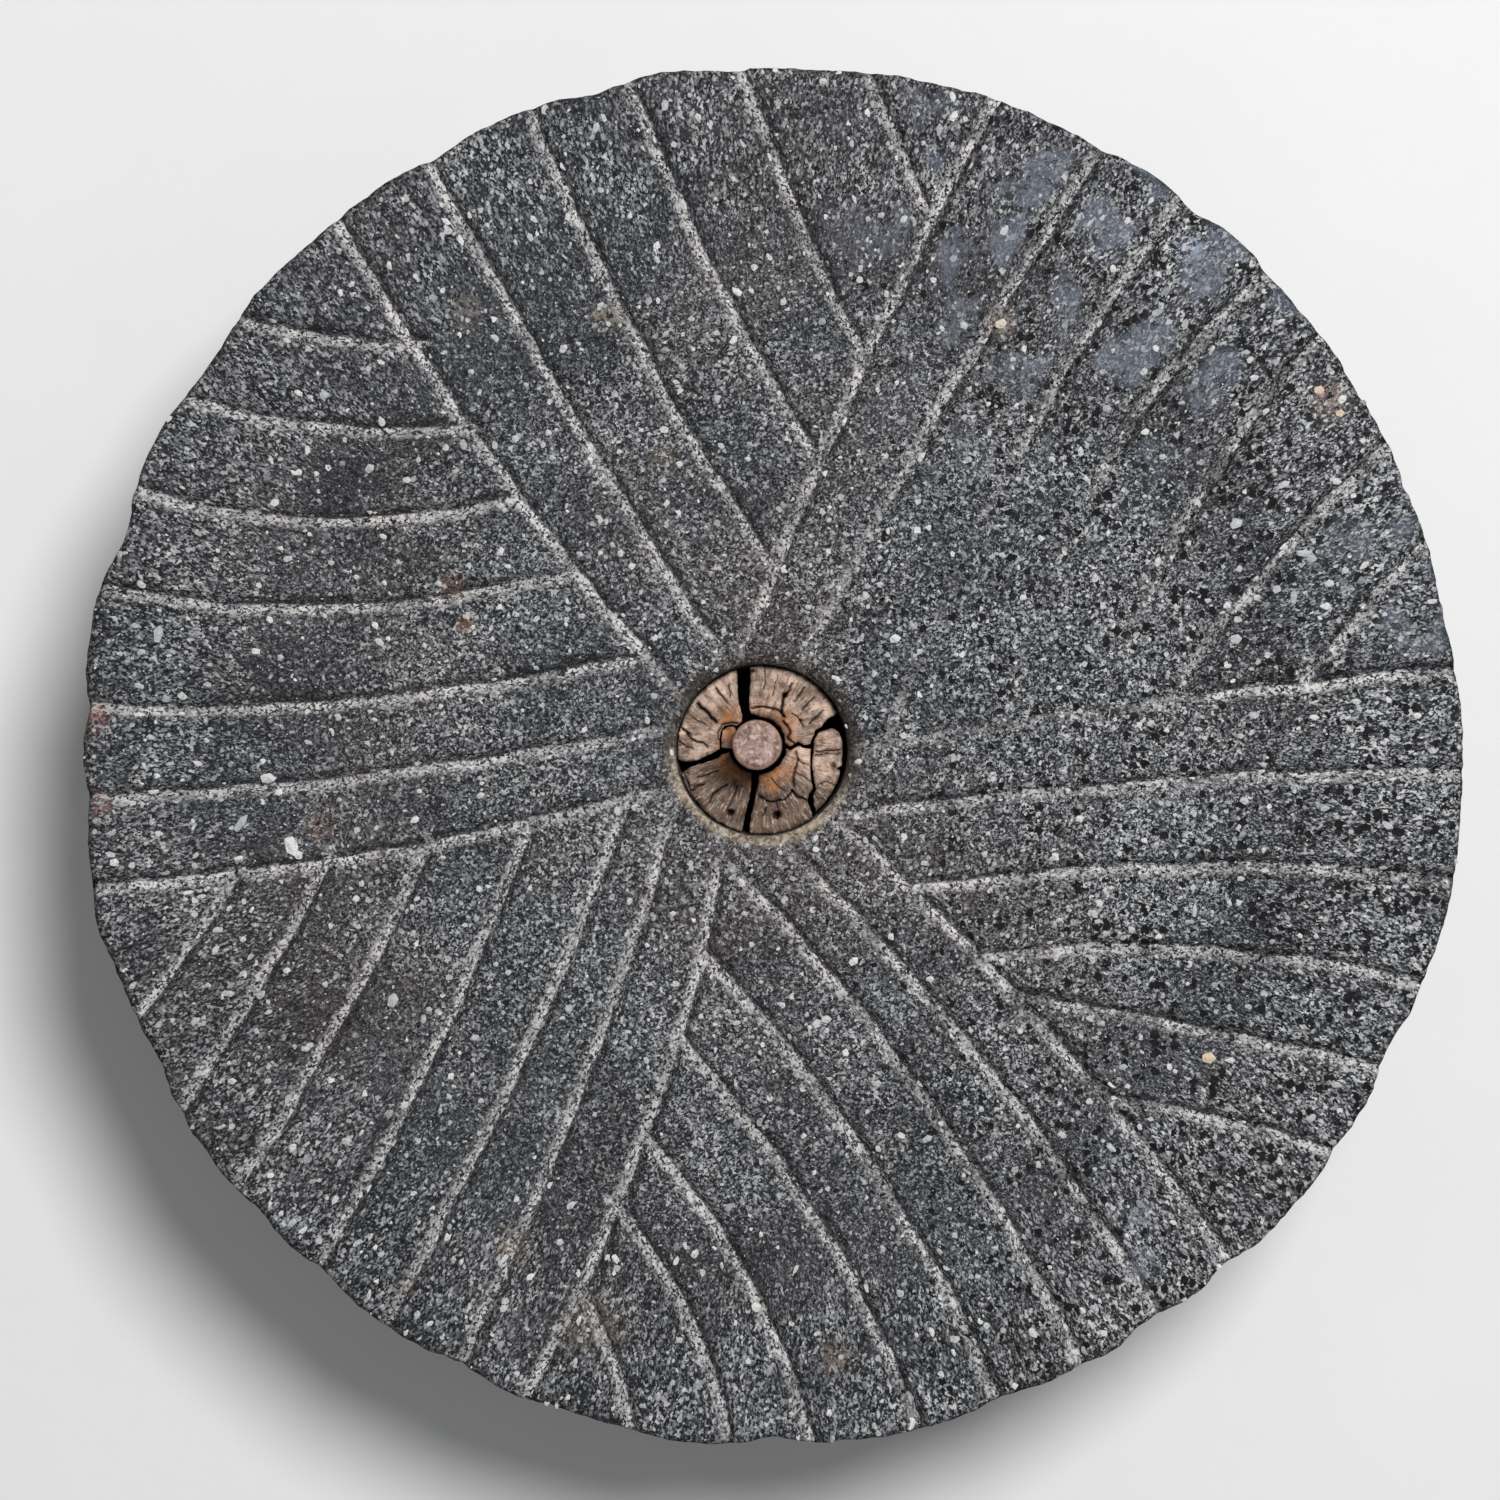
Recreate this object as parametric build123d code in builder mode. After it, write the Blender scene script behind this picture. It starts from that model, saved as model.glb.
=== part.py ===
from build123d import *
from math import cos, hypot, radians, sin
import os

# Bed stone of a hand-turned rotary mill. The runner stone, a separate part, turns on an
# iron pin, which is driven into a wooden plug that fills the eye of the bed stone.
# The origin is on the pin's axis in the plane of the underside. +Z points up, out of
# the dressed face. Sizes are in millimetres and degrees.

# --- The stone ---------------------------------------------------------------------
stone_diameter = 303.0  # across the dressed face, one shaku
stone_height = 91.0  # from the underside to the dressed face, three sun
stone_centre = (3.3, -2.0)  # the disc is not quite centred on its pin
foot_inset = 4.0  # the wall leans in by this much from the face to the foot
foot_bevel = 9.0  # rough bevel round the underside
rim_chamfer = 1.5  # worn edge of the dressed face

# --- The eye, a hole right through the stone -----------------------------------------
eye_centre = (1.1, -1.1)
eye_diameter = 37.4  # at the dressed face
eye_taper = 4.4  # by which its diameter has shrunk where the mouth begins
mouth_flare = 7.5  # by which the mouth in the underside is wider, all round
mouth_depth = 10.0

# --- The furrows of the dressed face --------------------------------------------------
master_width = 6.0
master_depth = 3.0
furrow_width = 5.0
furrow_depth = 2.4
eye_land = 4.0  # plain ring between the eye and the ends of the furrows
worn_centre = (58.0, 30.0)  # patch where the face is worn below all but the master furrows
worn_radius = 36.0

# The six harps, sunwise from the top. Each furrow was cut by eye, so each has its own
# place on the rim, heading in which it runs in from there, and bend, in degrees of turn
# for 100 mm of its length. A harp's first furrow is its master. The others end on the
# next harp's master.
harps = (
    (
        (129, -60, 9),
        (120, -61.5, 3),
        (110.5, -68.5, 11),
        (102, -69.5, 12.5),
        (93, -69.5, 8),
        (82.5, -67, 4),
    ),
    (
        (71, 242, 5),
        (61.5, 237, 5),
        (53.5, 233, 12.5),
        (44.5, 223, 30),
        (37.5, 228, 25),
        (27, 223, 17),
        (18.5, 226, 15),
    ),
    (
        (7, 185, 3.5),
        (-1.5, 180, 5.5),
        (-10.5, 173, 13),
        (-19.5, 164.5, 24),
        (-27, 166, 7),
        (-35, 162, 18),
    ),
    (
        (-48, 125, 10),
        (-55.5, 120.5, 11.5),
        (-63, 115.5, 14),
        (-70.5, 113, 17),
        (-77.5, 110.5, 22),
        (-86.5, 104.5, 35),
        (-93.5, 99, 52),
        (-101.5, 98, 60),
    ),
    (
        (-111, 60.5, 15),
        (-117, 63.5, 8),
        (-124, 60, 8),
        (-131.5, 57.5, 12),
        (-140.5, 56, 11),
        (-148.5, 56.5, 9),
        (-157, 53, 8),
    ),
    (
        (-169, 3.5, 10),
        (-176.5, 1.5, 8),
        (-184, -3, 13),
        (-194, -12, 26),
        (-202.5, -17, 36),
        (-211, -17, 34),
        (-219, -17, 40),
    ),
)

# --- The spindle pin -------------------------------------------------------------------
pin_diameter = 11.0
pin_free_length = 20.0  # above the plug
pin_chamfer = 0.8
tang_side = 7.4  # square tang, buried in the plug
tang_straight = 32.0  # upper stretch of the tang, before it tapers
tang_point = 24.0  # length of the tapered stretch
tang_tip_side = 3.0

# --- The wooden plug ---------------------------------------------------------------------
plug_recess = 6.0  # top of the plug below the dressed face
plug_foot = 8.0  # bottom of the plug above the underside

# Shrinkage cracks that split the plug into staves: the angle of each at the pin and at
# the wall of the eye, and its width at both.
cracks = (
    dict(at_pin=7.0, at_wall=359.0, pin_width=0.4, wall_width=0.4),
    dict(at_pin=104.0, at_wall=99.0, pin_width=2.2, wall_width=2.6),
    dict(at_pin=194.5, at_wall=194.5, pin_width=0.4, wall_width=3.0),
    dict(at_pin=268.8, at_wall=262.0, pin_width=1.4, wall_width=1.8),
)
stave_names = ("plug_upper_right", "plug_upper_left", "plug_lower_left", "plug_lower_right")

# A sliver has split off the plug's right-hand side, and its top corner has broken away.
sliver_width = 7.3  # at its widest, from the wall of the eye
sliver_gap = 0.7
sliver_bend = 4.6  # height above the eye's centre where the split turns outwards
sliver_break_depth = 12.0

# --- The wedge between the pin and the plug ----------------------------------------------
wedge_width = 4.6
wedge_offset = 1.4  # its middle lies this far from the pin's axis along Y
wedge_thickness = 3.7
wedge_tip_thickness = 0.8
wedge_length = 30.0

# --- Values that follow from the sizes above ---------------------------------------------
stone_radius = stone_diameter / 2
eye_radius = eye_diameter / 2
throat_radius = (eye_diameter - eye_taper) / 2
eye_slope = (eye_radius - throat_radius) / (stone_height - mouth_depth)
plug_top = stone_height - plug_recess
plug_length = plug_top - plug_foot
pin_top = plug_top + pin_free_length
margin = 5.0  # by which cutting shapes run past what they cut

os.makedirs("parts", exist_ok=True)


def save(piece, name):
    """Labels a finished piece and writes it under its own name."""
    piece.label = name
    export_step(piece, f"parts/{name}.step")


# --- Furrow geometry ------------------------------------------------------------------------
class Furrow:
    """The arc that one furrow follows, from its place on the rim inwards."""

    def __init__(self, rim_angle, heading, bend):
        self.heading = heading
        self.radius = 100 / radians(bend)
        start_x = stone_centre[0] + stone_radius * cos(radians(rim_angle))
        start_y = stone_centre[1] + stone_radius * sin(radians(rim_angle))
        self.centre = (
            start_x - self.radius * sin(radians(heading)),
            start_y + self.radius * cos(radians(heading)),
        )

    def turn(self, travel):
        """Degrees that it turns over a length of its run."""
        return travel / self.radius / radians(1)

    def bearing(self, travel):
        """Direction from the arc's centre to where it is after a length of its run."""
        return radians(self.heading - 90 + self.turn(travel))

    def point(self, travel):
        """Where it is after a length of its run."""
        angle = self.bearing(travel)
        return (
            self.centre[0] + self.radius * cos(angle),
            self.centre[1] + self.radius * sin(angle),
        )

    def run(self, next_master, worn_reach):
        """Its length, up to the next master, the land round the eye or the worn patch."""
        travel = 2 * furrow_width
        while (
            distance(self.point(travel), next_master.centre) > next_master.radius
            and distance(self.point(travel), eye_centre) > eye_radius + eye_land
            and distance(self.point(travel), worn_centre) > worn_reach
        ):
            travel += 0.5
        return travel


def distance(point, other):
    return hypot(point[0] - other[0], point[1] - other[1])


# --- bed_stone -------------------------------------------------------------------------------
# The disc: a wall that leans in towards the foot, a bevelled underside, and the eye.
stone_axis = Axis((*stone_centre, 0), (0, 0, 1))
eye_axis = Axis((*eye_centre, 0), (0, 0, 1))
stone_section = Plane(origin=(*stone_centre, 0), x_dir=(1, 0, 0), z_dir=(0, -1, 0))
eye_section = Plane(origin=(*eye_centre, 0), x_dir=(1, 0, 0), z_dir=(0, -1, 0))

with BuildPart() as eye_space:
    with BuildSketch(eye_section):
        with BuildLine():
            Polyline(
                (0, 0),
                (throat_radius + mouth_flare, 0),
                (throat_radius, mouth_depth),
                (eye_radius, stone_height),
                (0, stone_height),
                close=True,
            )
        make_face()
    revolve(axis=eye_axis)

with BuildPart() as bed_stone:
    with BuildSketch(stone_section):
        with BuildLine():
            Polyline(
                (0, 0),
                (stone_radius - foot_inset - foot_bevel, 0),
                (stone_radius - foot_inset, foot_bevel),
                (stone_radius, stone_height),
                (0, stone_height),
                close=True,
            )
        make_face()
    revolve(axis=stone_axis)
    rim = bed_stone.edges().filter_by(GeomType.CIRCLE).sort_by(Axis.Z)[-1]
    chamfer(rim, length=rim_chamfer)
    add(eye_space.part, mode=Mode.SUBTRACT)

    # Each furrow is a V that follows an arc, so it is a section turned about the arc's centre.
    for number, harp in enumerate(harps):
        next_master = Furrow(*harps[(number + 1) % len(harps)][0])
        for cut in harp:
            is_master = cut == harp[0]
            width = master_width if is_master else furrow_width
            depth = master_depth if is_master else furrow_depth
            flare = width / 2 * (1 + margin / depth)
            furrow = Furrow(*cut)
            travel = furrow.run(next_master, 0 if is_master else worn_radius)
            bearing = furrow.bearing(-margin)
            section = Plane(
                origin=(*furrow.centre, stone_height),
                x_dir=(cos(bearing), sin(bearing), 0),
                z_dir=(sin(bearing), -cos(bearing), 0),
            )
            with BuildSketch(section):
                Polygon(
                    (furrow.radius, -depth),
                    (furrow.radius + flare, margin),
                    (furrow.radius - flare, margin),
                    align=None,
                )
            revolve(
                axis=Axis((*furrow.centre, 0), (0, 0, 1)),
                revolution_arc=furrow.turn(travel + margin),
                mode=Mode.SUBTRACT,
            )
save(bed_stone.part, "bed_stone")

# --- spindle_pin -----------------------------------------------------------------------------
# Round above the plug, forged square where it is driven into the wood, and pointed below.
with BuildPart() as spindle_pin:
    with BuildSketch(Plane.XY.offset(plug_top)):
        Circle(pin_diameter / 2)
    extrude(amount=pin_free_length)
    head = spindle_pin.edges().filter_by(GeomType.CIRCLE).sort_by(Axis.Z)[-1]
    chamfer(head, length=pin_chamfer)
    with BuildSketch(Plane.XY.offset(plug_top)):
        Rectangle(tang_side, tang_side)
    extrude(amount=-tang_straight)
    with BuildSketch(Plane.XY.offset(plug_top - tang_straight)):
        Rectangle(tang_side, tang_side)
    with BuildSketch(Plane.XY.offset(plug_top - tang_straight - tang_point)):
        Rectangle(tang_tip_side, tang_tip_side)
    loft()
save(spindle_pin.part, "spindle_pin")

# --- pin_wedge -------------------------------------------------------------------------------
# Driven down beside the tang, thick end up, flush with the top of the plug.
with BuildPart() as pin_wedge:
    with BuildSketch(Plane.XZ.offset(-wedge_offset)):
        Polygon(
            (-tang_side / 2, plug_top),
            (-tang_side / 2 - wedge_thickness, plug_top),
            (-tang_side / 2 - wedge_tip_thickness, plug_top - wedge_length),
            (-tang_side / 2, plug_top - wedge_length),
            align=None,
        )
    extrude(amount=wedge_width / 2, both=True)
save(pin_wedge.part, "pin_wedge")

# --- The plug ----------------------------------------------------------------------------------
# A round of end-grain wood that fits the taper of the eye, before it split.
with BuildPart() as plug_round:
    with BuildSketch(eye_section):
        with BuildLine():
            Polyline(
                (0, plug_foot),
                (eye_radius - eye_slope * (stone_height - plug_foot), plug_foot),
                (eye_radius - eye_slope * plug_recess, plug_top),
                (0, plug_top),
                close=True,
            )
        make_face()
    revolve(axis=eye_axis)
    add(spindle_pin.part, mode=Mode.SUBTRACT)
    add(pin_wedge.part, mode=Mode.SUBTRACT)

# The corner of the round that split off: right of an upright line that turns outwards.
split_x = eye_centre[0] + eye_radius - sliver_width
bend_y = eye_centre[1] + sliver_bend
reach = eye_diameter  # far enough to clear the eye from any point in it
with BuildSketch(Plane.XY.offset(plug_foot)) as split_corner:
    Polygon(
        (split_x, -reach),
        (split_x + reach, -reach),
        (split_x + reach, bend_y + reach),
        (split_x, bend_y),
        align=None,
    )


def crack_side(crack, side):
    """Two points along one side of a crack: side is +1 for the anticlockwise one."""
    inner_radius = tang_side / 4
    inner = Vector(inner_radius, 0).rotate(Axis.Z, crack["at_pin"])
    wall = Vector(eye_radius, 0).rotate(Axis.Z, crack["at_wall"])
    along = (wall - inner).normalized()
    across = Vector(-along.Y, along.X) * side
    outer = wall + along * eye_radius
    return inner + across * crack["pin_width"] / 2, outer + across * crack["wall_width"] / 2


# --- plug_upper_right, plug_upper_left, plug_lower_left, plug_lower_right ----------------------
# The four staves between the cracks.
for number, name in enumerate(stave_names):
    first_inner, first_outer = crack_side(cracks[number], 1)
    last_inner, last_outer = crack_side(cracks[(number + 1) % len(cracks)], -1)
    middle = (first_outer + last_outer).normalized() * 2 * reach
    with BuildPart() as stave:
        with BuildSketch(Plane.XY.offset(plug_foot)):
            Polygon(
                (first_inner.X, first_inner.Y),
                (first_outer.X, first_outer.Y),
                (middle.X, middle.Y),
                (last_outer.X, last_outer.Y),
                (last_inner.X, last_inner.Y),
                align=None,
            )
        extrude(amount=plug_length)
        add(plug_round.part, mode=Mode.INTERSECT)
        with BuildSketch(Plane.XY.offset(plug_foot)):
            add(split_corner.sketch)
            offset(amount=sliver_gap / 2)
        extrude(amount=plug_length, mode=Mode.SUBTRACT)
    save(stave.part, name)

# --- plug_sliver -----------------------------------------------------------------------------
# The piece that split off, with the top of its upper end broken away.
with BuildPart() as plug_sliver:
    with BuildSketch(Plane.XY.offset(plug_foot)):
        add(split_corner.sketch)
        offset(amount=-sliver_gap / 2)
    extrude(amount=plug_length)
    add(plug_round.part, mode=Mode.INTERSECT)
    with BuildSketch(Plane.XY.offset(plug_top)):
        with Locations((split_x + reach / 2, bend_y + reach / 2)):
            Rectangle(2 * reach, reach)
    extrude(amount=-sliver_break_depth, mode=Mode.SUBTRACT)
save(plug_sliver.part, "plug_sliver")
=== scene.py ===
import bmesh
import bpy
import numpy as np
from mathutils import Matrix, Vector, kdtree
from mathutils.geometry import delaunay_2d_cdt
from mathutils.noise import fractal, noise_vector, seed_set


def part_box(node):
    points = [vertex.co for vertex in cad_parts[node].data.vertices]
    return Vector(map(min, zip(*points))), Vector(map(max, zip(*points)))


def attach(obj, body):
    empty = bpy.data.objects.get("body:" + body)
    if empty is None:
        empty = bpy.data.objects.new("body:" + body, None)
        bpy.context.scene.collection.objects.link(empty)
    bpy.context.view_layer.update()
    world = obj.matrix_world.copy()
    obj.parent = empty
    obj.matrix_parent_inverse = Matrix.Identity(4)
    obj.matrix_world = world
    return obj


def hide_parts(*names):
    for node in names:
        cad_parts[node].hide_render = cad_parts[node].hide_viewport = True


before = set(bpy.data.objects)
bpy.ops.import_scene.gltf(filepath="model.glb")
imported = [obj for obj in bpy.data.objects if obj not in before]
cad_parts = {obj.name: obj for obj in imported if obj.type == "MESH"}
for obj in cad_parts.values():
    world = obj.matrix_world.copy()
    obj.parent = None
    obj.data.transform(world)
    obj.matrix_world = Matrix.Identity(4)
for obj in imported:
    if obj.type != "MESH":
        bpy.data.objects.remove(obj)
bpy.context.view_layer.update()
mm = 0.001

# === The blank of the bed stone =========================================================
# A disc of vesicular andesite, split from the block and trued with a point chisel. Its rim
# is scalloped where the dresser's blows have carried pieces away, and the eye goes through.
stone_low, stone_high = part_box("bed_stone")
face_z = stone_high.z
stone_centre = np.array(((stone_low.x + stone_high.x) / 2, (stone_low.y + stone_high.y) / 2))
cut_radius = 151.5 * mm  # of the circle on which the furrows start
rim_radius = 149.9 * mm
widest = 151.3 * mm  # what the rim's bulges are held to
rim_turns = 780  # corners round the rim
eye_centre = np.array((1.1, -1.1)) * mm
eye_radius = 18.7 * mm
eye_turns = 195
grid_step = 1.32 * mm

# Bites out of the rim and bulges of it: angle, half width in degrees, depth in mm.
rim_bites = (
    (8, 5, 0.6), (14, 4, 1.3), (22, 5, 0.9), (33, 3.5, 1.0), (47, 4, -1.2), (57, 3, -1.0),
    (52, 1.6, 1.3), (44, 1.5, 1.0), (72, 5, -0.6), (86, 6, 1.3), (93, 3, 1.6), (105, 3, 2.3),
    (119, 3.5, 1.9), (129, 4, 0.5), (145, 4.5, 1.5), (153, 4, -0.5), (161, 3, 2.2),
    (168, 4, -1.4), (176.5, 2.2, 1.9), (184, 4, 0.9), (194, 5, -1.2), (206, 4, 1.6),
    (214, 5, -0.6), (222, 3, 1.2), (229, 3, 1.9), (243, 4, 1.2), (251, 3, 0.9),
    (262, 5, -0.7), (270, 2.5, 1.8), (281, 3, -0.4), (290, 4, 2.2), (297, 3, 1.7),
    (304, 4, 3.2), (312, 3, 2.0), (324, 3, 0.6), (334, 3.5, 2.3), (349, 6, -0.9),
)
rng = np.random.default_rng(7)
seed_set(3)  # of noise_vector, which takes its seed from the clock otherwise


def rim_at(angle):
    """Radius of the rim at an angle, bites and ripples included."""
    radius = np.full_like(angle, rim_radius)
    for place, spread, depth in rim_bites:
        away = (angle - np.radians(place) + np.pi) % (2 * np.pi) - np.pi
        radius -= 0.72 * depth * mm * np.exp(-((away / np.radians(spread * 0.85)) ** 2))
    for place, deep in ((11.0, 0.64), (34.0, 0.26), (62.0, 0.34)):
        spots = np.stack((place * np.cos(angle), place * np.sin(angle)), -1)
        radius += np.array([noise_vector(Vector((*spot, place))).x for spot in spots]) * deep * mm
    return np.minimum(radius, widest)


# === The furrows of the dressed face ======================================================
# Six harps of V furrows, cut by eye with a pick along slightly bent lines. Each furrow has
# its place on the rim, its heading inwards and its bend in degrees for 100 mm; the first
# of a harp is its master, and the others end on the next harp's master.
harps = (
    ((129, -60, 9), (120, -61.5, 3), (110.5, -68.5, 11), (102, -69.5, 12.5), (93, -69.5, 8),
     (82.5, -67, 4)),
    ((71, 242, 5), (61.5, 237, 5), (53.5, 233, 12.5), (44.5, 223, 30), (37.5, 228, 25),
     (27, 223, 17), (18.5, 226, 15)),
    ((7, 185, 3.5), (-1.5, 180, 5.5), (-10.5, 173, 13), (-19.5, 164.5, 24), (-27, 166, 7),
     (-35, 162, 18)),
    ((-48, 125, 10), (-55.5, 120.5, 11.5), (-63, 115.5, 14), (-70.5, 113, 17),
     (-77.5, 110.5, 22), (-86.5, 104.5, 35), (-93.5, 99, 52), (-101.5, 98, 60)),
    ((-111, 60.5, 15), (-117, 63.5, 8), (-124, 60, 8), (-131.5, 57.5, 12), (-140.5, 56, 11),
     (-148.5, 56.5, 9), (-157, 53, 8)),
    ((-169, 3.5, 10), (-176.5, 1.5, 8), (-184, -3, 13), (-194, -12, 26), (-202.5, -17, 36),
     (-211, -17, 34), (-219, -17, 40)),
)
worn_centre = np.array((58.0, 30.0)) * mm
worn_radius = 36 * mm
line_step = 1.15 * mm
longest_furrow = 170 * mm


def arc_of(cut):
    """Centre and radius of the arc that a furrow follows."""
    rim_angle, heading, bend = np.radians(cut[0]), np.radians(cut[1]), cut[2]
    radius = 0.1 / np.radians(bend)
    start = stone_centre + cut_radius * np.array((np.cos(rim_angle), np.sin(rim_angle)))
    return start + radius * np.array((-np.sin(heading), np.cos(heading))), radius


def line_of(cut, next_master):
    """Points along a furrow from the rim inwards, and the unit vector across it at each."""
    centre, radius = arc_of(cut)
    end_centre, end_radius = arc_of(next_master)
    points, across = [], []
    travel = -2 * mm
    while travel < longest_furrow:
        angle = np.radians(cut[1] - 90) + travel / radius
        out = np.array((np.cos(angle), np.sin(angle)))
        point = centre + radius * out
        points.append(point)
        across.append(out if out @ (0.62, 0.78) > 0 else -out)
        slow = noise_vector(Vector((*point * 75, cut[0]))).x * 0.75
        quick = noise_vector(Vector((*point * 240, cut[0]))).x * 0.35
        points[-1] = point + out * (slow + quick) * mm
        if travel > 10 * mm and (
            np.linalg.norm(point - end_centre) < end_radius
            or np.linalg.norm(point - eye_centre) < eye_radius + 2.5 * mm
        ):
            break
        travel += line_step
    return np.array(points), np.array(across)


furrows = []
for number, harp in enumerate(harps):
    for cut in harp:
        points, across = line_of(cut, harps[(number + 1) % 6][0])
        master = cut is harp[0]
        half = (2.9 if master else 2.5) * mm
        depth = np.full(len(points), (2.3 if master else 2.1) * mm)
        worn = np.linalg.norm(points - worn_centre, axis=1) / worn_radius
        depth *= np.clip((worn - 0.55) / 0.8, 0.3 if master else 0.08, 1)
        depth *= np.clip((np.linalg.norm(points - eye_centre, axis=1) - eye_radius) / (14 * mm), 0.35, 1)
        furrows.append((points, across, half, depth))


def stand(name, data):
    """Puts a mesh, a lamp or a camera into the scene, at the origin."""
    thing = bpy.data.objects.new(name, data)
    bpy.context.scene.collection.objects.link(thing)
    return thing


def mark(mesh, label, values, kind="FLOAT"):
    """Gives each corner of a mesh a number or a vector of its own."""
    field = "vector" if kind == "FLOAT_VECTOR" else "value"
    mesh.attributes.new(label, kind, "POINT").data.foreach_set(field, np.ravel(values))


lines = bpy.data.meshes.new("furrow_lines")
line_points = np.vstack([f[0] for f in furrows])
edges, first = [], 0
for points, *_ in furrows:
    edges += [(first + i, first + i + 1) for i in range(len(points) - 1)]
    first += len(points)
lines.from_pydata([(x, y, face_z) for x, y in line_points], edges, [])
mark(lines, "cut_depth", np.concatenate([f[3] for f in furrows]))
mark(lines, "cut_half", np.concatenate([np.full(len(f[0]), f[2]) for f in furrows]))
flat_across = np.hstack([np.vstack([f[1] for f in furrows]), np.zeros((len(line_points), 1))])
mark(lines, "across", flat_across, "FLOAT_VECTOR")
furrow_lines = stand("furrow_lines", lines)

# Corners of the face: rows along every furrow, an even grid on the lands between, rings
# round the larger pits, and the circles of the rim and the eye.
pits = (
    (121, 44, 2.6), (96, 12.5, 2.6), (47, 75, 2.2), (52, 76, 2.0), (39.5, 36, 2.4), (62, 37, 2.2),
    (58, 35, 2.0), (106, 65, 2.2), (85, -5, 2.2), (47, -8, 2.2), (74, -18, 2.2), (112, 3, 3.0),
    (123, -19, 2.4), (-71, -82, 3.2), (-19, -90, 2.8), (-43, 52, 2.8), (70, 47, 2.4), (77, 39, 1.9),
    (90, 52, 2.3), (99, 57, 1.9), (109, 21, 2.2), (66, 20, 2.0), (52, 17, 1.8), (80, 27, 2.0),
    (117, 58, 2.1), (93, 34, 1.8), (128, 27, 2.2), (134, 13, 2.0), (71, 60, 1.8), (83, 66, 2.0),
    (115, -8, 1.9), (98, -14, 1.8), (63, -9, 1.7), (-127, 37, 2.4), (-122, 44, 2.0), (89, -48, 1.9),
    (110, -47, 2.2), (72, -41, 1.8), (30, 52, 1.8), (21, 40, 1.6), (-30, 68, 1.7), (50, 55, 2.0),
)
tree_of_lines = kdtree.KDTree(len(line_points))
owner = []
for number, furrow in enumerate(furrows):
    for point in furrow[0]:
        tree_of_lines.insert((*point, 0), len(owner))
        owner.append(number)
tree_of_lines.balance()

turn = np.linspace(0, 2 * np.pi, rim_turns, endpoint=False)
rim_ring = stone_centre + rim_at(turn)[:, None] * np.stack((np.cos(turn), np.sin(turn)), 1)
eye_turn = np.linspace(0, 2 * np.pi, eye_turns, endpoint=False)
eye_wobble = np.array([noise_vector(Vector((3 * np.cos(a), 3 * np.sin(a), 2))).x for a in eye_turn])
eye_ring = eye_centre + (eye_radius + 0.25 * mm + 0.45 * mm * eye_wobble)[:, None] * np.stack(
    (np.cos(eye_turn), np.sin(eye_turn)), 1)
inside = []


def with_room(points, gap):
    """Those of the points that keep clear of the rim and of the eye."""
    away = points - stone_centre
    reach = np.hypot(*away.T)
    clear = reach < rim_at(np.arctan2(away[:, 1], away[:, 0])) - gap
    return clear & (np.hypot(*(points - eye_centre).T) > eye_radius + 0.75 * mm + gap / 2)


for number, (points, across, half, depth) in enumerate(furrows):
    for share in (0.2, 0.48, 0.78, 1.12, -0.22, -0.65, -1.1):
        row = points + across * half * share
        row = row[with_room(row, 0.6 * mm)]
        inside += [point for point in row if owner[tree_of_lines.find((*point, 0))[1]] == number]
for x, y, size in pits:
    for share, count in ((0, 1), (0.45, 6), (0.85, 10), (1.15, 12)):
        angle = np.linspace(0, 2 * np.pi, count, endpoint=False)
        circle = np.stack((np.cos(angle), np.sin(angle)), 1) * size / 2 * share
        inside += list((circle + (x, y)) * mm)
rows, columns = np.meshgrid(np.arange(-134, 135), np.arange(-120, 121), indexing="ij")
lands = np.stack(((columns + 0.5 * (rows % 2)).ravel(), (rows * 0.866).ravel()), 1) * grid_step
lands = stone_centre + lands + rng.uniform(-0.22, 0.22, lands.shape) * mm
lands = lands[with_room(lands, 0.9 * mm)]
for x, y, size in pits:
    lands = lands[np.hypot(lands[:, 0] - x * mm, lands[:, 1] - y * mm) > size * 0.75 * mm]
for point in lands:
    where, nearest, away = tree_of_lines.find((*point, 0))
    if away > furrows[owner[nearest]][2] * 1.3 + 0.55 * mm:
        inside.append(point)

flat = np.vstack((rim_ring, eye_ring, np.array(inside)))
found, _, faces, *_ = delaunay_2d_cdt([Vector(p) for p in flat * 1000], [], [], 0, 1e-4)
ring_end = rim_turns + eye_turns
face_corners = np.array([(p.x, p.y) for p in found]) * mm
faces = [
    f for f in faces
    if not all(rim_turns <= corner < ring_end for corner in f)
    and not all(corner < rim_turns for corner in f)
]

away = face_corners - stone_centre
reach = np.hypot(*away.T)
edge_gap = rim_at(np.arctan2(away[:, 1], away[:, 0])) - reach
eye_away = face_corners - eye_centre
eye_gap = np.hypot(*eye_away.T) - eye_radius
eye_side = np.cos(np.arctan2(eye_away[:, 1], eye_away[:, 0]) - np.radians(55)) * 0.5 + 0.5
height = np.full(len(face_corners), face_z)
height -= 0.9 * mm * np.clip(1 - edge_gap / (1.7 * mm), 0, 1) ** 2
height -= (0.5 + 1.5 * eye_side) * mm * np.clip(1 - eye_gap / ((1.4 + 2.2 * eye_side) * mm), 0, 1) ** 1.5
for x, y, size in pits:
    near = np.hypot(face_corners[:, 0] - x * mm, face_corners[:, 1] - y * mm) / (size / 2 * mm)
    height -= size * 0.55 * mm * np.clip(1 - near**2, 0, 1)

corners = [(*p, z) for p, z in zip(face_corners, height)]
dressed = [1.0] * len(corners)
rough = [0.0] * len(corners)
regions = [0] * len(faces)


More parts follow.
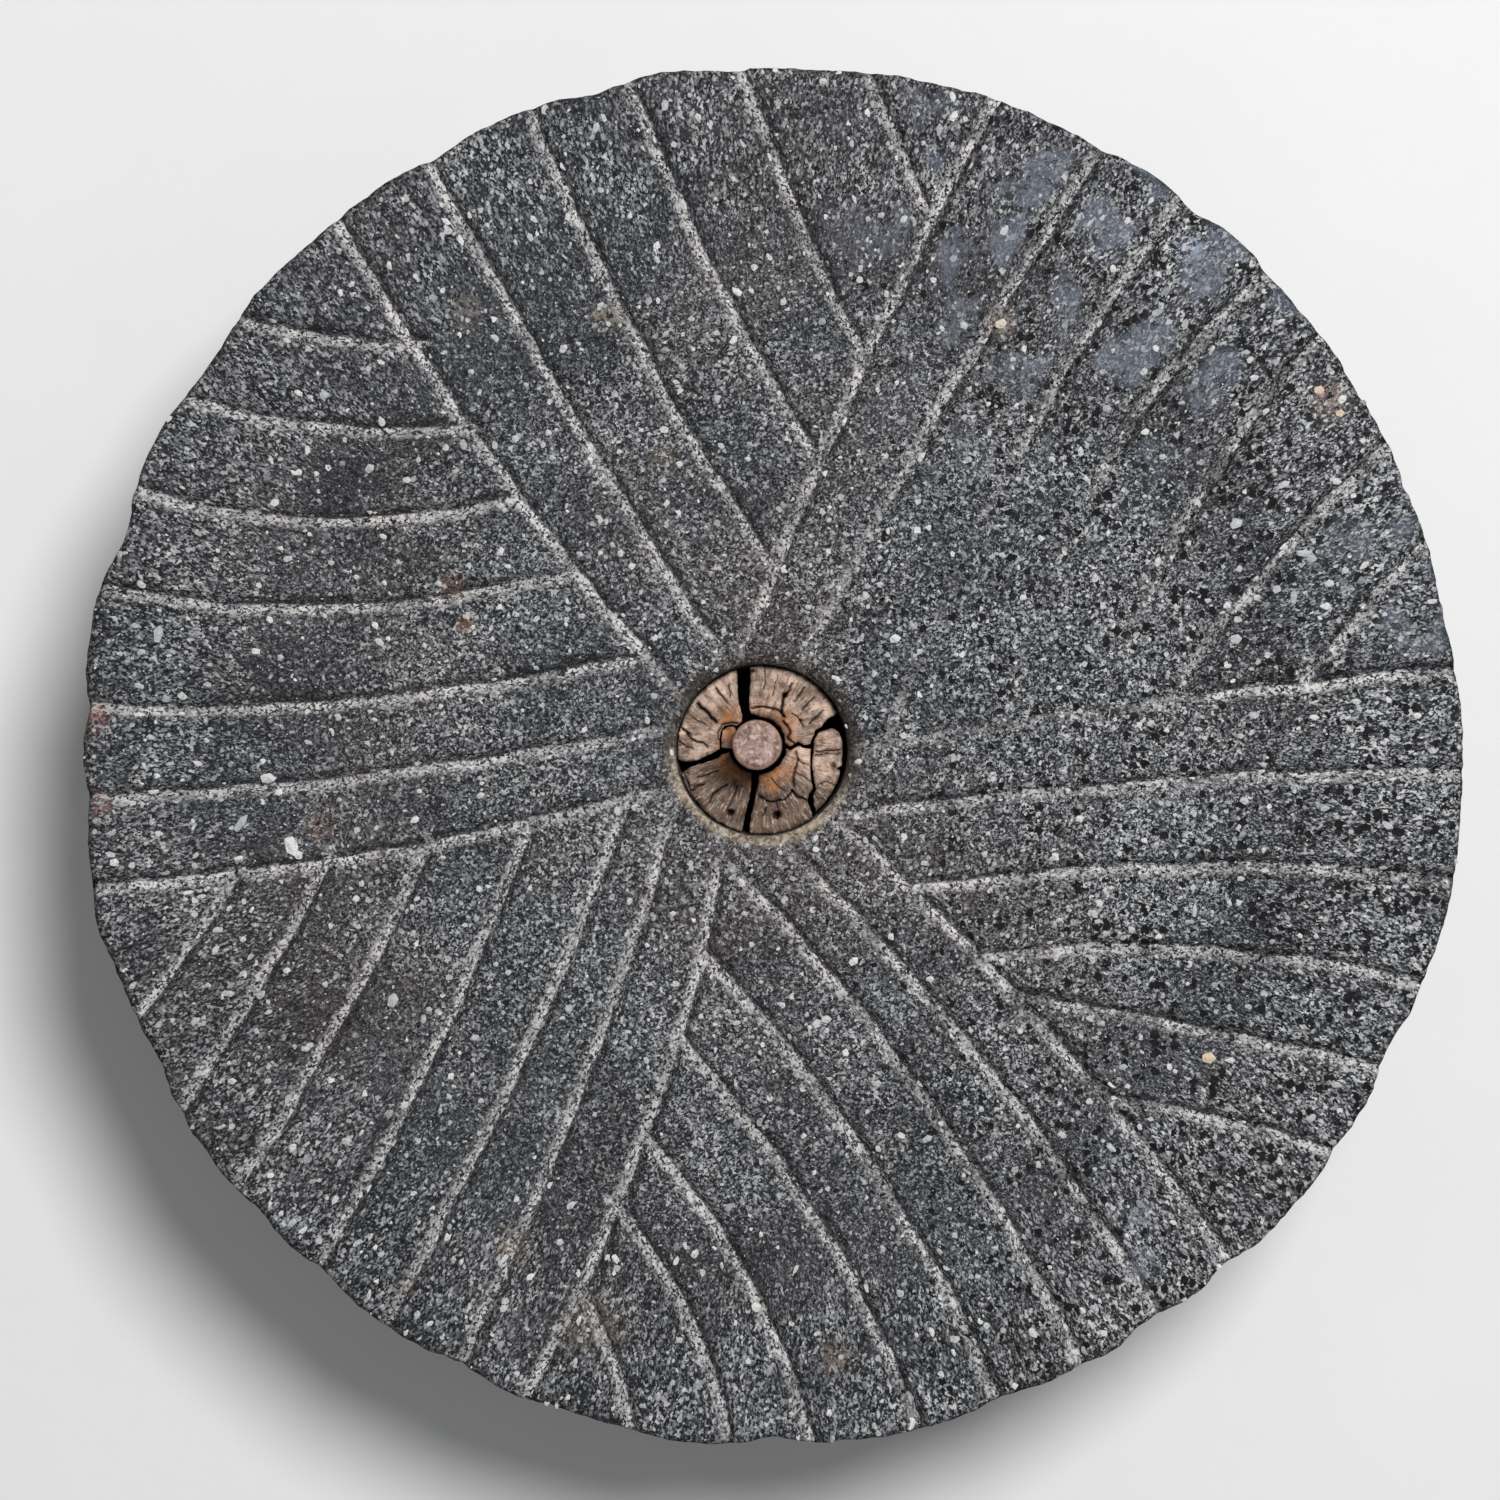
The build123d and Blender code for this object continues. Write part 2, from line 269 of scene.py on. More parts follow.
def ring(count, z, lean, spread, roughness):
    """Adds a level circle of corners to the blank: about the disc's centre or the eye's."""
    angle = np.linspace(0, 2 * np.pi, count, endpoint=False)
    if spread is None:
        centre, radius = eye_centre, np.full(count, lean)
    else:
        centre, radius = stone_centre, rim_at(angle) - rim_radius
        radius = radius * spread + lean
    start = len(corners)
    for a, r in zip(angle, radius):
        corners.append((centre[0] + r * np.cos(a), centre[1] + r * np.sin(a), z))
        dressed.append(0.0)
        rough.append(roughness)
    return list(range(start, start + count))


def stitch(outer, inner, region):
    """Closes the band between two rings of corners, of equal count or one twice the other."""
    if len(outer) < len(inner):
        outer, inner = inner, outer
    count = len(outer)
    for i in range(count):
        j = (i + 1) % count
        if len(inner) == count:
            faces.append([outer[i], outer[j], inner[j], inner[i]])
        else:
            a, b = inner[i // 2], inner[((i + 1) // 2) % len(inner)]
            faces.append([outer[i], outer[j], b] + ([a] if a != b else []))
        regions.append(region)


wall_foot = 146.4 * mm
previous = list(range(rim_turns))
for number, depth in enumerate((3.9, 6.5, 9.5, 13, 16.5, 20, 24, 28, 32, 36, 40, 44, 48, 52, 56, 60, 64,
                                68, 72, 76, 80)):
    share = depth / 82
    this = ring(rim_turns if number < 3 else rim_turns // 2, face_z - depth * mm,
                (1 - share) * (rim_radius - 0.1 * mm) + share * wall_foot, 1 - 0.75 * share, 1.0)
    stitch(previous, this, 1)
    previous = this
for z, radius, roughness in ((7.5, 145.3, 1), (4.8, 142.9, 1), (2.2, 140.3, 0.8), (0.5, 138.2, 0.25)):
    this = ring(rim_turns // 2, z * mm, radius * mm, 0.25, roughness)
    stitch(previous, this, 1)
    previous = this
for radius in np.arange(132, 27, -7.0):
    this = ring(rim_turns // 2 if radius > 60 else eye_turns, 0.35 * mm, radius * mm, 0, 0.12)
    stitch(previous, this, 2)
    previous = this
for z, radius, roughness in ((0.5, 24.6, 0.15), (3, 22.3, 0.2), (6, 19.6, 0.2), (9.2, 17.1, 0.12),
                             (11, 16.6, 0.06)):
    this = ring(eye_turns, z * mm, radius * mm, None, roughness)
    stitch(previous, this, 3)
    previous = this
for z in (16, 22, 29, 36, 43, 50, 57, 64, 70, 75, 79, 82, 84.5, 86.5, 88.3):
    this = ring(eye_turns, z * mm, (16.5 + (z - 10) * 0.0272 + 0.02 * (z - 82) * (z > 82)) * mm, None, 0.06)
    stitch(previous, this, 3)
    previous = this
stitch(previous, list(range(rim_turns, ring_end)), 3)

blank_mesh = bpy.data.meshes.new("stone_blank")
blank_mesh.from_pydata(corners, [], faces)
mark(blank_mesh, "dressed", dressed)
mark(blank_mesh, "rough", rough)
blank_mesh.attributes.new("region", "INT", "FACE").data.foreach_set("value", regions)
shaped = bmesh.new()
shaped.from_mesh(blank_mesh)
bmesh.ops.recalc_face_normals(shaped, faces=shaped.faces)
shaped.to_mesh(blank_mesh)
shaped.free()
blank = stand("stone_blank", blank_mesh)


# --- Node trees: the dressing below is the first piece that is made with one, and the
# finish of the stone comes before it because the tree hands it to the stone.
class Wire:
    """A value in a node tree. Arithmetic on it adds the nodes that work it out."""

    def __init__(self, socket):
        self.socket = socket

    def also(self, name):
        """Another output of the node that this one comes from."""
        return Wire(self.socket.node.outputs[name])

    def __add__(self, other):
        return maths("ADD", self, other)

    def __sub__(self, other):
        return maths("SUBTRACT", self, other)

    def __rsub__(self, other):
        return maths("SUBTRACT", other, self)

    def __mul__(self, other):
        return maths("MULTIPLY", self, other)

    def __truediv__(self, other):
        return maths("DIVIDE", self, other)

    def __pow__(self, other):
        return maths("POWER", self, other)

    def __gt__(self, other):
        return maths("GREATER_THAN", self, other)

    def __abs__(self):
        return maths("ABSOLUTE", self)


def put(tree, kind, inputs=None, out=0, **settings):
    """Adds a node, links or sets its inputs, and gives one of its outputs."""
    made = tree.nodes.new(kind)
    for key, value in settings.items():
        setattr(made, key, value)
    for key, value in (inputs or {}).items():
        if isinstance(value, Wire):
            tree.links.new(value.socket, made.inputs[key])
        else:
            made.inputs[key].default_value = value
    return Wire(made.outputs[out])


def after(kind, inputs, out=0, **settings):
    """Adds a node to the tree that the first wire among its inputs is in."""
    wire = next(value for value in inputs.values() if isinstance(value, Wire))
    return put(wire.socket.id_data, kind, inputs, out, **settings)


def maths(operation, first, second=0.0):
    """A Math node, or a Vector Math node where the first value is a vector."""
    if not (isinstance(first, Wire) and first.socket.type in ("VECTOR", "RGBA")):
        return after("ShaderNodeMath", {0: first, 1: second}, operation=operation)
    if operation == "MULTIPLY" and not isinstance(second, tuple):
        return after("ShaderNodeVectorMath", {0: first, 3: second}, operation="SCALE")
    return after("ShaderNodeVectorMath", {0: first, 1: second}, operation=operation)


def distance(first, second, operation="DISTANCE"):
    return after("ShaderNodeVectorMath", {0: first, 1: second}, "Value", operation=operation)


def length(vector):
    return after("ShaderNodeVectorMath", {0: vector}, "Value", operation="LENGTH")


def parts(vector):
    """The x, y and z of a vector."""
    first = after("ShaderNodeSeparateXYZ", {0: vector})
    return [first.also(axis) for axis in "XYZ"]


def combine(x, y, z):
    return after("ShaderNodeCombineXYZ", {0: x, 1: y, 2: z})


def mix(factor, first, second):
    """A colour on the way from the first to the second."""
    return after("ShaderNodeMix", {0: factor, 6: first, 7: second}, 2, data_type="RGBA")


def blend(factor, first, second):
    """A number on the way from the first to the second."""
    return after("ShaderNodeMix", {0: factor, 2: first, 3: second}, data_type="FLOAT")


def between(value, low, high, to_low=0.0, to_high=1.0, smooth=True):
    """Maps a value from one range to another, held at both ends."""
    return after("ShaderNodeMapRange", {0: value, 1: low, 2: high, 3: to_low, 4: to_high},
                 interpolation_type="SMOOTHSTEP" if smooth else "LINEAR")


def cloud(place, size, detail=2.0, roughness=0.5):
    """Noise from 0 to 1, in lumps of about the given size in metres."""
    return after("ShaderNodeTexNoise", {
        "Vector": place, "Scale": 1 / size, "Detail": detail, "Roughness": roughness})


def cells(place, size, out="Distance", **settings):
    """Cells of about the given size: how far each place is from the middle of its own."""
    return after("ShaderNodeTexVoronoi", {"Vector": place, "Scale": 1 / size}, out, **settings)


def shades(place, size):
    """Three random numbers for each cell."""
    first = after("ShaderNodeSeparateColor", {0: cells(place, size, "Color")})
    return [first.also(number) for number in range(3)]


def bump(height, depth):
    return after("ShaderNodeBump", {"Height": height, "Distance": depth, "Strength": 1.0})


# === Finish of the stone ================================================================
# Grey andesite: a fine dark ground with pale feldspar grains and gas pits painted near-black for
# their shade, a painted bluish sheen on the polished high lands of the upper right, dust with painted
# light and shade in the furrows, and old meal round the eye.
class Finish:
    """A material's tree, and the place on the piece that its patterns follow."""

    def __init__(self, name):
        self.material = bpy.data.materials.new(name)
        self.material.use_nodes = True
        self.tree = self.material.node_tree
        self.tree.nodes.clear()
        self.place = put(self.tree, "ShaderNodeTexCoord", out="Object")

    def attribute(self, label):
        return put(self.tree, "ShaderNodeAttribute", out="Fac", attribute_name=label)

    def coat(self, share, colour):
        """Lays a colour over those before it, where the share is above 0."""
        self.colour = mix(share, self.colour, colour)

    def finish(self, roughness, normal, **constants):
        """Ends the tree in its shader."""
        inputs = {"Base Color": self.colour, "Roughness": roughness, "Normal": normal}
        inputs.update({key.replace("_", " "): value for key, value in constants.items()})
        shader = put(self.tree, "ShaderNodeBsdfPrincipled", inputs)
        surface = self.tree.nodes.new("ShaderNodeOutputMaterial").inputs["Surface"]
        self.tree.links.new(shader.socket, surface)
        return self.material


def rgb(*channels):
    """A colour as it looks on a screen, 0 to 255, in linear values."""
    shares = [channel / 255 for channel in channels]
    return (*(c / 12.92 if c <= 0.04 else ((c + 0.055) / 1.055) ** 2.4 for c in shares), 1)


stone = Finish("andesite")
p = stone.place
warp = after("ShaderNodeTexNoise", {"Vector": p, "Scale": 900.0, "Detail": 1.0}, "Color") * 0.0011
bent = p + warp
patchy = cloud(p, 45 * mm, 4, 0.6)
stone.colour = mix(between(patchy, 0.35, 0.65), rgb(23, 25, 30), rgb(43, 45, 50))
warm = between(cloud(p + (0.4, 0.1, 0), 60 * mm, 3), 0.42, 0.62)
warm = warm * between(distance(p, (-0.02, 0.01, face_z)), 0.03, 0.14, 0.75, 0.25)
stone.coat(warm, rgb(68, 55, 55))
blotch = between(cloud(p, 6 * mm, 3, 0.65), 0.42, 0.68)
stone.coat(blotch * 0.5, rgb(36, 38, 42))

# The ground is a mesh of fine crystals: each takes its own grey, dark ones lie lower.
split_place = parts(p)
outward = p - (*stone_centre, 0)
outward_parts = parts(outward)
reach_out = length(outward * (1, 1, 0))
bearing = maths("ARCTAN2", outward_parts[1], outward_parts[0])
streaked = combine(reach_out * 0.62, bearing * 0.128, split_place[2] * 0.8)
streaked = streaked + warp * 0.35
drawn_out = between(reach_out + cloud(p, 5 * mm, 2) * 0.03, 0.105, 0.145)


def grains(size, shift):
    """A random grey for each crystal of the ground, streaked towards the rim."""
    even = shades(bent + shift, size)[0]
    long = shades(streaked + shift, size * 0.9)[0]
    return blend(drawn_out, even, long)


fine = grains(0.37 * mm, (0, 0, 0))
coarse = grains(0.66 * mm, (0.3, 0.3, 0.1))
crowded_and_lit_right = between(cloud(p, 24 * mm, 4, 0.6) + cloud(p, 5 * mm, 3) * 0.5, 0.58, 0.92, 0.44, 1.05)
# Painted light: the pale grains grow denser towards the right, the side of the lamp, on top of their random
# crowding.
crowded_and_lit_right = crowded_and_lit_right + between(split_place[0], 0.0, 0.11, 0.0, 0.4)
lighter = between(fine, 0.46, 1.0, smooth=False) ** 1.5 * 0.85
stone.coat(lighter * crowded_and_lit_right, rgb(158, 160, 163))
lighter = between(coarse, 0.74, 1.0, smooth=False) ** 1.1 * 0.92
stone.coat(lighter * crowded_and_lit_right, rgb(196, 196, 196))
dark_grain = between(fine, 0.38, 0.16) * between(cloud(p, 1.5 * mm, 2, 0.6), 0.36, 0.52)
stone.coat(dark_grain * 0.95, rgb(10, 11, 13))


def flecks(size, chance, span, shift):
    """Pale grains, one in a share of the cells of a given size."""
    place = bent + shift
    far = cells(place, size)
    pick = shades(place, size)
    width = between(pick[0], 1 - chance, 1, 0, span, smooth=False)
    return between(width - far, 0.0, 0.06), pick[1]


small, small_tone = flecks(1.3 * mm, 0.5, 0.40, (0.2, 0.0, 0.0))
stone.coat(small * 0.85, mix(small_tone, rgb(120, 122, 124), rgb(186, 187, 186)))
large, large_tone = flecks(2.7 * mm, 0.40, 0.30, (0.0, 0.5, 0.1))
stone.coat(large * 0.9, mix(large_tone, rgb(150, 152, 153), rgb(212, 212, 208)))

# Gas pits: more of them on the right half of the face, painted near-black for the shade inside them; the bump
# gives them a little depth.
right = between(split_place[0], -0.05, 0.09, 0.16, 0.8)
pit_place = bent + warp * 0.7 + (0.7, 0.2, 0.0)
pit_far = cells(pit_place, 2.1 * mm)
pit_pick = shades(pit_place, 2.1 * mm)[0]
pit_width = (pit_pick - (1.0 - right)) * 0.7
pit_with_painted_shade = between(pit_width - pit_far, 0.0, 0.09)
stone.coat(pit_with_painted_shade, rgb(6, 6, 7))

# Painted sheen: a lighter bluish colour on the polished high lands towards the upper right, the side of the
# lamp; the lower roughness there is real polish.
polish_and_sheen_side = between(distance(p, (0.075, 0.11, face_z)), 0.02, 0.075, 1, 0)
polish_and_sheen_side = maths("MAXIMUM", polish_and_sheen_side, between(distance(p, (0.15, 0.04, face_z)), 0.01, 0.04, 0.9, 0))
on_land = between(stone.attribute("reach"), 2.5, 5.0)
polish_and_painted_sheen = polish_and_sheen_side * on_land * between(cloud(p, 13 * mm, 3), 0.47, 0.6)
stone.coat(polish_and_painted_sheen * 0.55, rgb(106, 113, 126))

# Dust in the furrows, and painted light: the pale band lies along the bottom and along the wall that faces
# the lamp at the upper right.
side = stone.attribute("across")
dust_and_lit_wall_band = between(side, -2.4, -0.8) * between(side, 0.25, 0.7, 1, 0)
near_furrow = between(stone.attribute("reach"), 2.6, 3.6, 1, 0)
dust = dust_and_lit_wall_band * near_furrow * stone.attribute("dust")
clinging = shades(bent + (0.9, 0.6, 0.1), 0.55 * mm)[0]
dust = dust * between(clinging, 0.28, 0.8)
thinnest = between(split_place[0], -0.03, 0.08, 0.5, 0.15)
dust = dust * between(cloud(p, 9 * mm, 2), 0.34, 0.62, thinnest, 1.0)
stone.coat(dust * 0.95, rgb(214, 210, 207))
# Painted shade on the steep wall of each furrow, the side away from the lamp.
painted_wall_shade = between(side, 0.35, 1.0) * between(side, 1.7, 3.2, 1, 0)
painted_wall_shade = painted_wall_shade * near_furrow * stone.attribute("dust")
painted_wall_shade = painted_wall_shade * between(cloud(p, 7 * mm, 3, 0.6), 0.35, 0.65)
stone.coat(painted_wall_shade * 0.5, rgb(15, 15, 17))

# Beige crust of old meal on the lower edge of the eye, and a dark brown edge on its upper side.
eye_place = p - (*eye_centre, face_z)
eye_parts = parts(eye_place)
eye_far = length(eye_place * (1, 1, 0))
lower = between(eye_parts[1] + eye_parts[0] * 0.25, 2 * mm, -10 * mm)
rim_band = between(eye_far + cloud(p, 3 * mm, 3) * (3 * mm), 20.6 * mm, 23.4 * mm, 1, 0)
on_top = between(split_place[2], face_z - 5 * mm, face_z - 2 * mm)
crust = lower * rim_band * on_top
stone.coat(crust * 0.8,
           mix(between(cloud(p, 1.3 * mm, 4, 0.7), 0.35, 0.65), rgb(104, 88, 70), rgb(216, 198, 172)))
dark_upper_eye_edge = (1.0 - lower) * between(eye_far, 20.6 * mm, 22.4 * mm, 1, 0)
stone.coat(dark_upper_eye_edge * 0.6, rgb(52, 44, 34))

# The wall: slanting strokes of the chisel, paler where they bruised the stone, and a brown
# weathered skin in patches.
strokes = combine(bearing * 0.15 + split_place[2] * 0.35, split_place[2] * 0.22, 0.0)
strokes = between(cloud(strokes, 3.6 * mm, 3, 0.6), 0.36, 0.66)
on_wall = between(split_place[2], face_z - 3 * mm, face_z - 5 * mm) * between(reach_out, 0.134, 0.14)
skin = between(cloud(p, 34 * mm, 4, 0.6), 0.44, 0.6) * on_wall
stone.coat(skin * 0.55, rgb(84, 76, 69))
bruised = strokes * on_wall * between(cloud(p, 16 * mm, 3), 0.4, 0.6, 0.1, 0.5)
stone.coat(bruised, rgb(138, 138, 139))

# Stains of rust and of lighter minerals: place, size in mm and colour.
for x, y, size, colour in (
    (-145, 6, 5, rgb(150, 96, 84)), (-143, -13, 4, rgb(138, 92, 80)), (-66, 34, 4, rgb(128, 84, 60)),
    (-63, 26, 3, rgb(120, 82, 60)), (-95, -18, 4, rgb(120, 82, 64)), (-63, 94, 4.5, rgb(132, 124, 116)),
    (-33, 93, 4, rgb(150, 138, 118)), (-53, -108, 5, rgb(126, 112, 92)), (-76, -117, 3, rgb(118, 104, 86)),
    (-35, -126, 9, rgb(112, 100, 88)), (17, -133, 5, rgb(130, 108, 98)), (-20, 62, 4, rgb(98, 82, 66)),
    (94, 108, 3.6, rgb(176, 190, 212)), (84, -113, 5, rgb(140, 148, 160)), (83, -103, 5, rgb(132, 140, 152)),
    (53, 92, 4, rgb(168, 152, 136)), (124, 75, 5, rgb(160, 136, 122)),
):
    spot = between(distance(p, (x * mm, y * mm, face_z)), size * 0.35 * mm, size * 1.15 * mm, 1, 0)
    spot = spot * between(cloud(p, 1.6 * mm, 3, 0.7), 0.4, 0.62)
    stone.coat(spot * 0.55, colour)

# Relief of the grains, the pits and the pick marks.
relief = cloud(p, 1.6 * mm, 4, 0.7) * 0.5 + cloud(p, 5 * mm, 3, 0.6) * 0.55
relief = relief - pit_with_painted_shade * 0.9 - dark_grain * 0.22 + large * 0.05 + strokes * on_wall * 1.6
normal = bump(relief, 1.15 * mm)
rough_value = between(cloud(p, 2 * mm, 2), 0.3, 0.7, 0.62, 0.86) - polish_and_painted_sheen * 0.22
stone_material = stone.finish(rough_value, normal, Specular_IOR_Level=0.3)

# === Dressing of the bed stone ============================================================
# Every furrow is cut into the blank along its line, with its lips worn round; the face is
# picked rough between them, and the wall and the underside keep the marks of the chisel.
def new_tree(name, sockets):
    """A Geometry Nodes tree with a geometry input and output and the named inputs."""
    tree = bpy.data.node_groups.new(name, "GeometryNodeTree")
    tree.interface.new_socket("Geometry", in_out="INPUT", socket_type="NodeSocketGeometry")
    for label, kind in sockets.items():
        tree.interface.new_socket(label, in_out="INPUT", socket_type="NodeSocket" + kind)
    tree.interface.new_socket("Geometry", in_out="OUTPUT", socket_type="NodeSocketGeometry")
    return tree, {socket.name: Wire(socket) for socket in tree.nodes.new("NodeGroupInput").outputs}


def end_tree(geometry, material):
    """Ends a tree in Realize Instances and Set Material."""
    real = after("GeometryNodeRealizeInstances", {"Geometry": geometry})
    coated = after("GeometryNodeSetMaterial", {"Geometry": real, "Material": material}).socket
    tree = coated.id_data
    tree.links.new(coated, tree.nodes.new("NodeGroupOutput").inputs[0])


def grow(host, tree, name, inputs):
    """Runs a tree on an object, whose place its plain result takes."""
    modifier = host.modifiers.new("grow", "NODES")
    modifier.node_group = tree
    for item in tree.interface.items_tree:
        if item.in_out == "INPUT" and item.name in inputs:
            modifier[item.identifier] = inputs[item.name]
    depsgraph = bpy.context.evaluated_depsgraph_get()
    mesh = bpy.data.meshes.new_from_object(host.evaluated_get(depsgraph), depsgraph=depsgraph)
    host.modifiers.remove(modifier)
    mesh.name = name
    bpy.data.objects.remove(host)
    return stand(name, mesh)


def kept(tree, label, kind="FLOAT"):
    """A named attribute of the geometry."""
    return put(tree, "GeometryNodeInputNamedAttribute", {"Name": label}, data_type=kind)


def store(geometry, label, value, kind="FLOAT"):
    inputs = {"Geometry": geometry, "Name": label, "Value": value}
    return after("GeometryNodeStoreNamedAttribute", inputs, data_type=kind, domain="POINT")


tree, given = new_tree("dressing", {
    "Furrows": "Object", "Reach": "Float", "Ragged Lips": "Float", "Face Waves": "Float",
    "Pick Marks": "Float", "Chisel Marks": "Float", "Seed": "Float", "Stone": "Material"})
here = put(tree, "GeometryNodeInputPosition")
shifted = here + combine(given["Seed"], 0.0, 0.0)
cuts = after("GeometryNodeObjectInfo", {"Object": given["Furrows"]}, "Geometry")
on_line = after("GeometryNodeProximity", {0: cuts}, "Position", target_element="EDGES")
far = on_line.also("Distance")
index = after("GeometryNodeSampleNearest", {"Geometry": cuts}, "Index", domain="POINT")


def sampled(label, kind="FLOAT"):
    value = kept(tree, label, kind)
    return after("GeometryNodeSampleIndex", {"Geometry": cuts, "Value": value, "Index": index},
                 data_type=kind)


signed = distance(here - on_line, sampled("across", "FLOAT_VECTOR"), "DOT_PRODUCT")
wander = (cloud(shifted, 3 * mm, 3) - 0.5) * given["Ragged Lips"]
half = sampled("cut_half")
steep = signed > half * 0.2
past_end = far - abs(signed)
beside = abs(signed - half * 0.2)
slope = blend(steep, 1.0, 0.56)
reach = half * given["Reach"] * slope
share = (beside + past_end + wander) / reach
profile = after("ShaderNodeFloatCurve", {"Value": share})
mapping = profile.socket.node.mapping
curve = mapping.curves[0]
for spot, (x, y) in zip((0, 1), ((0, 1), (1, 0))):
    curve.points[spot].location = (x, y)
for x, y in ((0.10, 0.93), (0.40, 0.52), (0.70, 0.14), (0.85, 0.035)):
    curve.points.new(x, y)
mapping.update()
uneven = between(cloud(shifted, 14 * mm, 2), 0.3, 0.7, 0.8, 1.2)
cut = profile * sampled("cut_depth") * uneven
waves = (cloud(shifted, 30 * mm, 3) - 0.5) * given["Face Waves"]
picked = (cloud(shifted, 3.4 * mm, 3, 0.7) - 0.5) * given["Pick Marks"]
down = (waves + picked - cut) * kept(tree, "dressed")
chipped = cloud(shifted * (1, 1, 0.6), 13 * mm, 4, 0.65) - 0.6
facets = cells(shifted * (1, 1, 0.5), 1 / 62)
chipped = chipped + (facets - 0.75) * 0.34
chipped = chipped * given["Chisel Marks"] * kept(tree, "rough")
outward = put(tree, "GeometryNodeInputNormal") * chipped
moved = outward + combine(0.0, 0.0, down)
geometry = store(given["Geometry"], "across", signed * 1000.0)
geometry = store(geometry, "reach", far * 1000.0)
# How deep the furrow is here, which sets its dust and the painted light and shade on its walls.
geometry = store(geometry, "dust", sampled("cut_depth") / (2.1 * mm) * kept(tree, "dressed"))
geometry = after("GeometryNodeSetPosition", {"Geometry": geometry, "Offset": moved})
geometry = after("GeometryNodeSetShadeSmooth", {"Geometry": geometry})
end_tree(geometry, given["Stone"])
bed_stone = grow(blank, tree, "bed_stone_dressed", {
    "Furrows": furrow_lines, "Reach": 1.32, "Ragged Lips": 1.0 * mm, "Face Waves": 0.8 * mm,
    "Pick Marks": 0.75 * mm, "Chisel Marks": 11 * mm, "Seed": 3.0, "Stone": stone_material})


def lay_out(piece, spots):
    """Gives the piece the map that its baked finish uses: corner by corner, in 0 to 1."""
    piece.data.uv_layers.new(name="OFBake").data.foreach_set("uv", np.clip(spots, 0, 1).ravel())


def each(items, label, kind, size=1):
    """One value, or one vector, of every item of a mesh."""
    values = np.empty(len(items) * size, kind)
    items.foreach_get(label, values)
    return values.reshape(-1, size) if size > 1 else values


mesh = bed_stone.data
loop_total = each(mesh.polygons, "loop_total", int)
spot = each(mesh.vertices, "co", float, 3)[each(mesh.loops, "vertex_index", int)]
middle = np.repeat(each(mesh.polygons, "center", float, 3), loop_total, axis=0)
zone = np.repeat(each(mesh.attributes["region"].data, "value", int), loop_total)


def bearings(centre):
    """Bearing of each face's middle, and of its corners without a jump at the seam."""
    (face_x, face_y), (x, y) = (middle[:, :2] - centre).T, (spot[:, :2] - centre).T
    of_face = np.arctan2(face_y, face_x)
    return of_face, of_face + (np.arctan2(y, x) - of_face + np.pi) % (2 * np.pi) - np.pi


# The face and the underside lie flat on the map, the wall in two strips, the eye in one.
away = spot[:, :2] - stone_centre
of_wall, on_wall = bearings(stone_centre)
on_bore = bearings(eye_centre)[1]
strip = np.where(of_wall > 0, 0, 1)
level = spot[:, 2] / face_z
uv = np.zeros((len(spot), 2))
for number, laid in enumerate((
    (0.008, 0.208) + (away / (2 * 152 * mm) + 0.5) * 0.784,
    np.stack((0.008 + 0.98 * (on_wall + np.pi * strip) / np.pi, 0.004 + 0.096 * strip + 0.09 * level), 1),
    (0.803, 0.803) + (away / (2 * 141 * mm) + 0.5) * 0.19,
    np.stack((0.805 + 0.185 * level, 0.21 + 0.58 * (on_bore + np.pi) / (2 * np.pi)), 1),
)):
    uv[zone == number] = laid[zone == number]
lay_out(bed_stone, uv)
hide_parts("bed_stone")
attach(bed_stone, "root")

# === The wooden plug =====================================================================
# A round of hardwood driven end grain up into the eye. It has dried, checked and split into
# four staves and a sliver; rust from the pin has stained the wood round it orange.
plug_low, plug_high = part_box("plug_upper_left")
plug_top = plug_high.z / mm
plug_foot = plug_low.z / mm
plug_edge = 18.42  # reach of the wood from the centre of the eye
ex, ey = eye_centre / mm


def bow(centre, radius, first, last, count=14):
    """Points along an arc, from one angle to another."""
    angle = np.radians(np.linspace(first, last, count))
    return [(centre[0] + radius * np.cos(a), centre[1] + radius * np.sin(a)) for a in angle]


def eye_bow(start, end, gap=0.0):
    """Points along the wall of the eye, anticlockwise between the bearings of two points."""
    first, last = (np.degrees(np.arctan2(y - ey, x - ex)) for x, y in (start, end))
    return bow((ex, ey), plug_edge - gap, first, last if last > first else last + 360, 24)


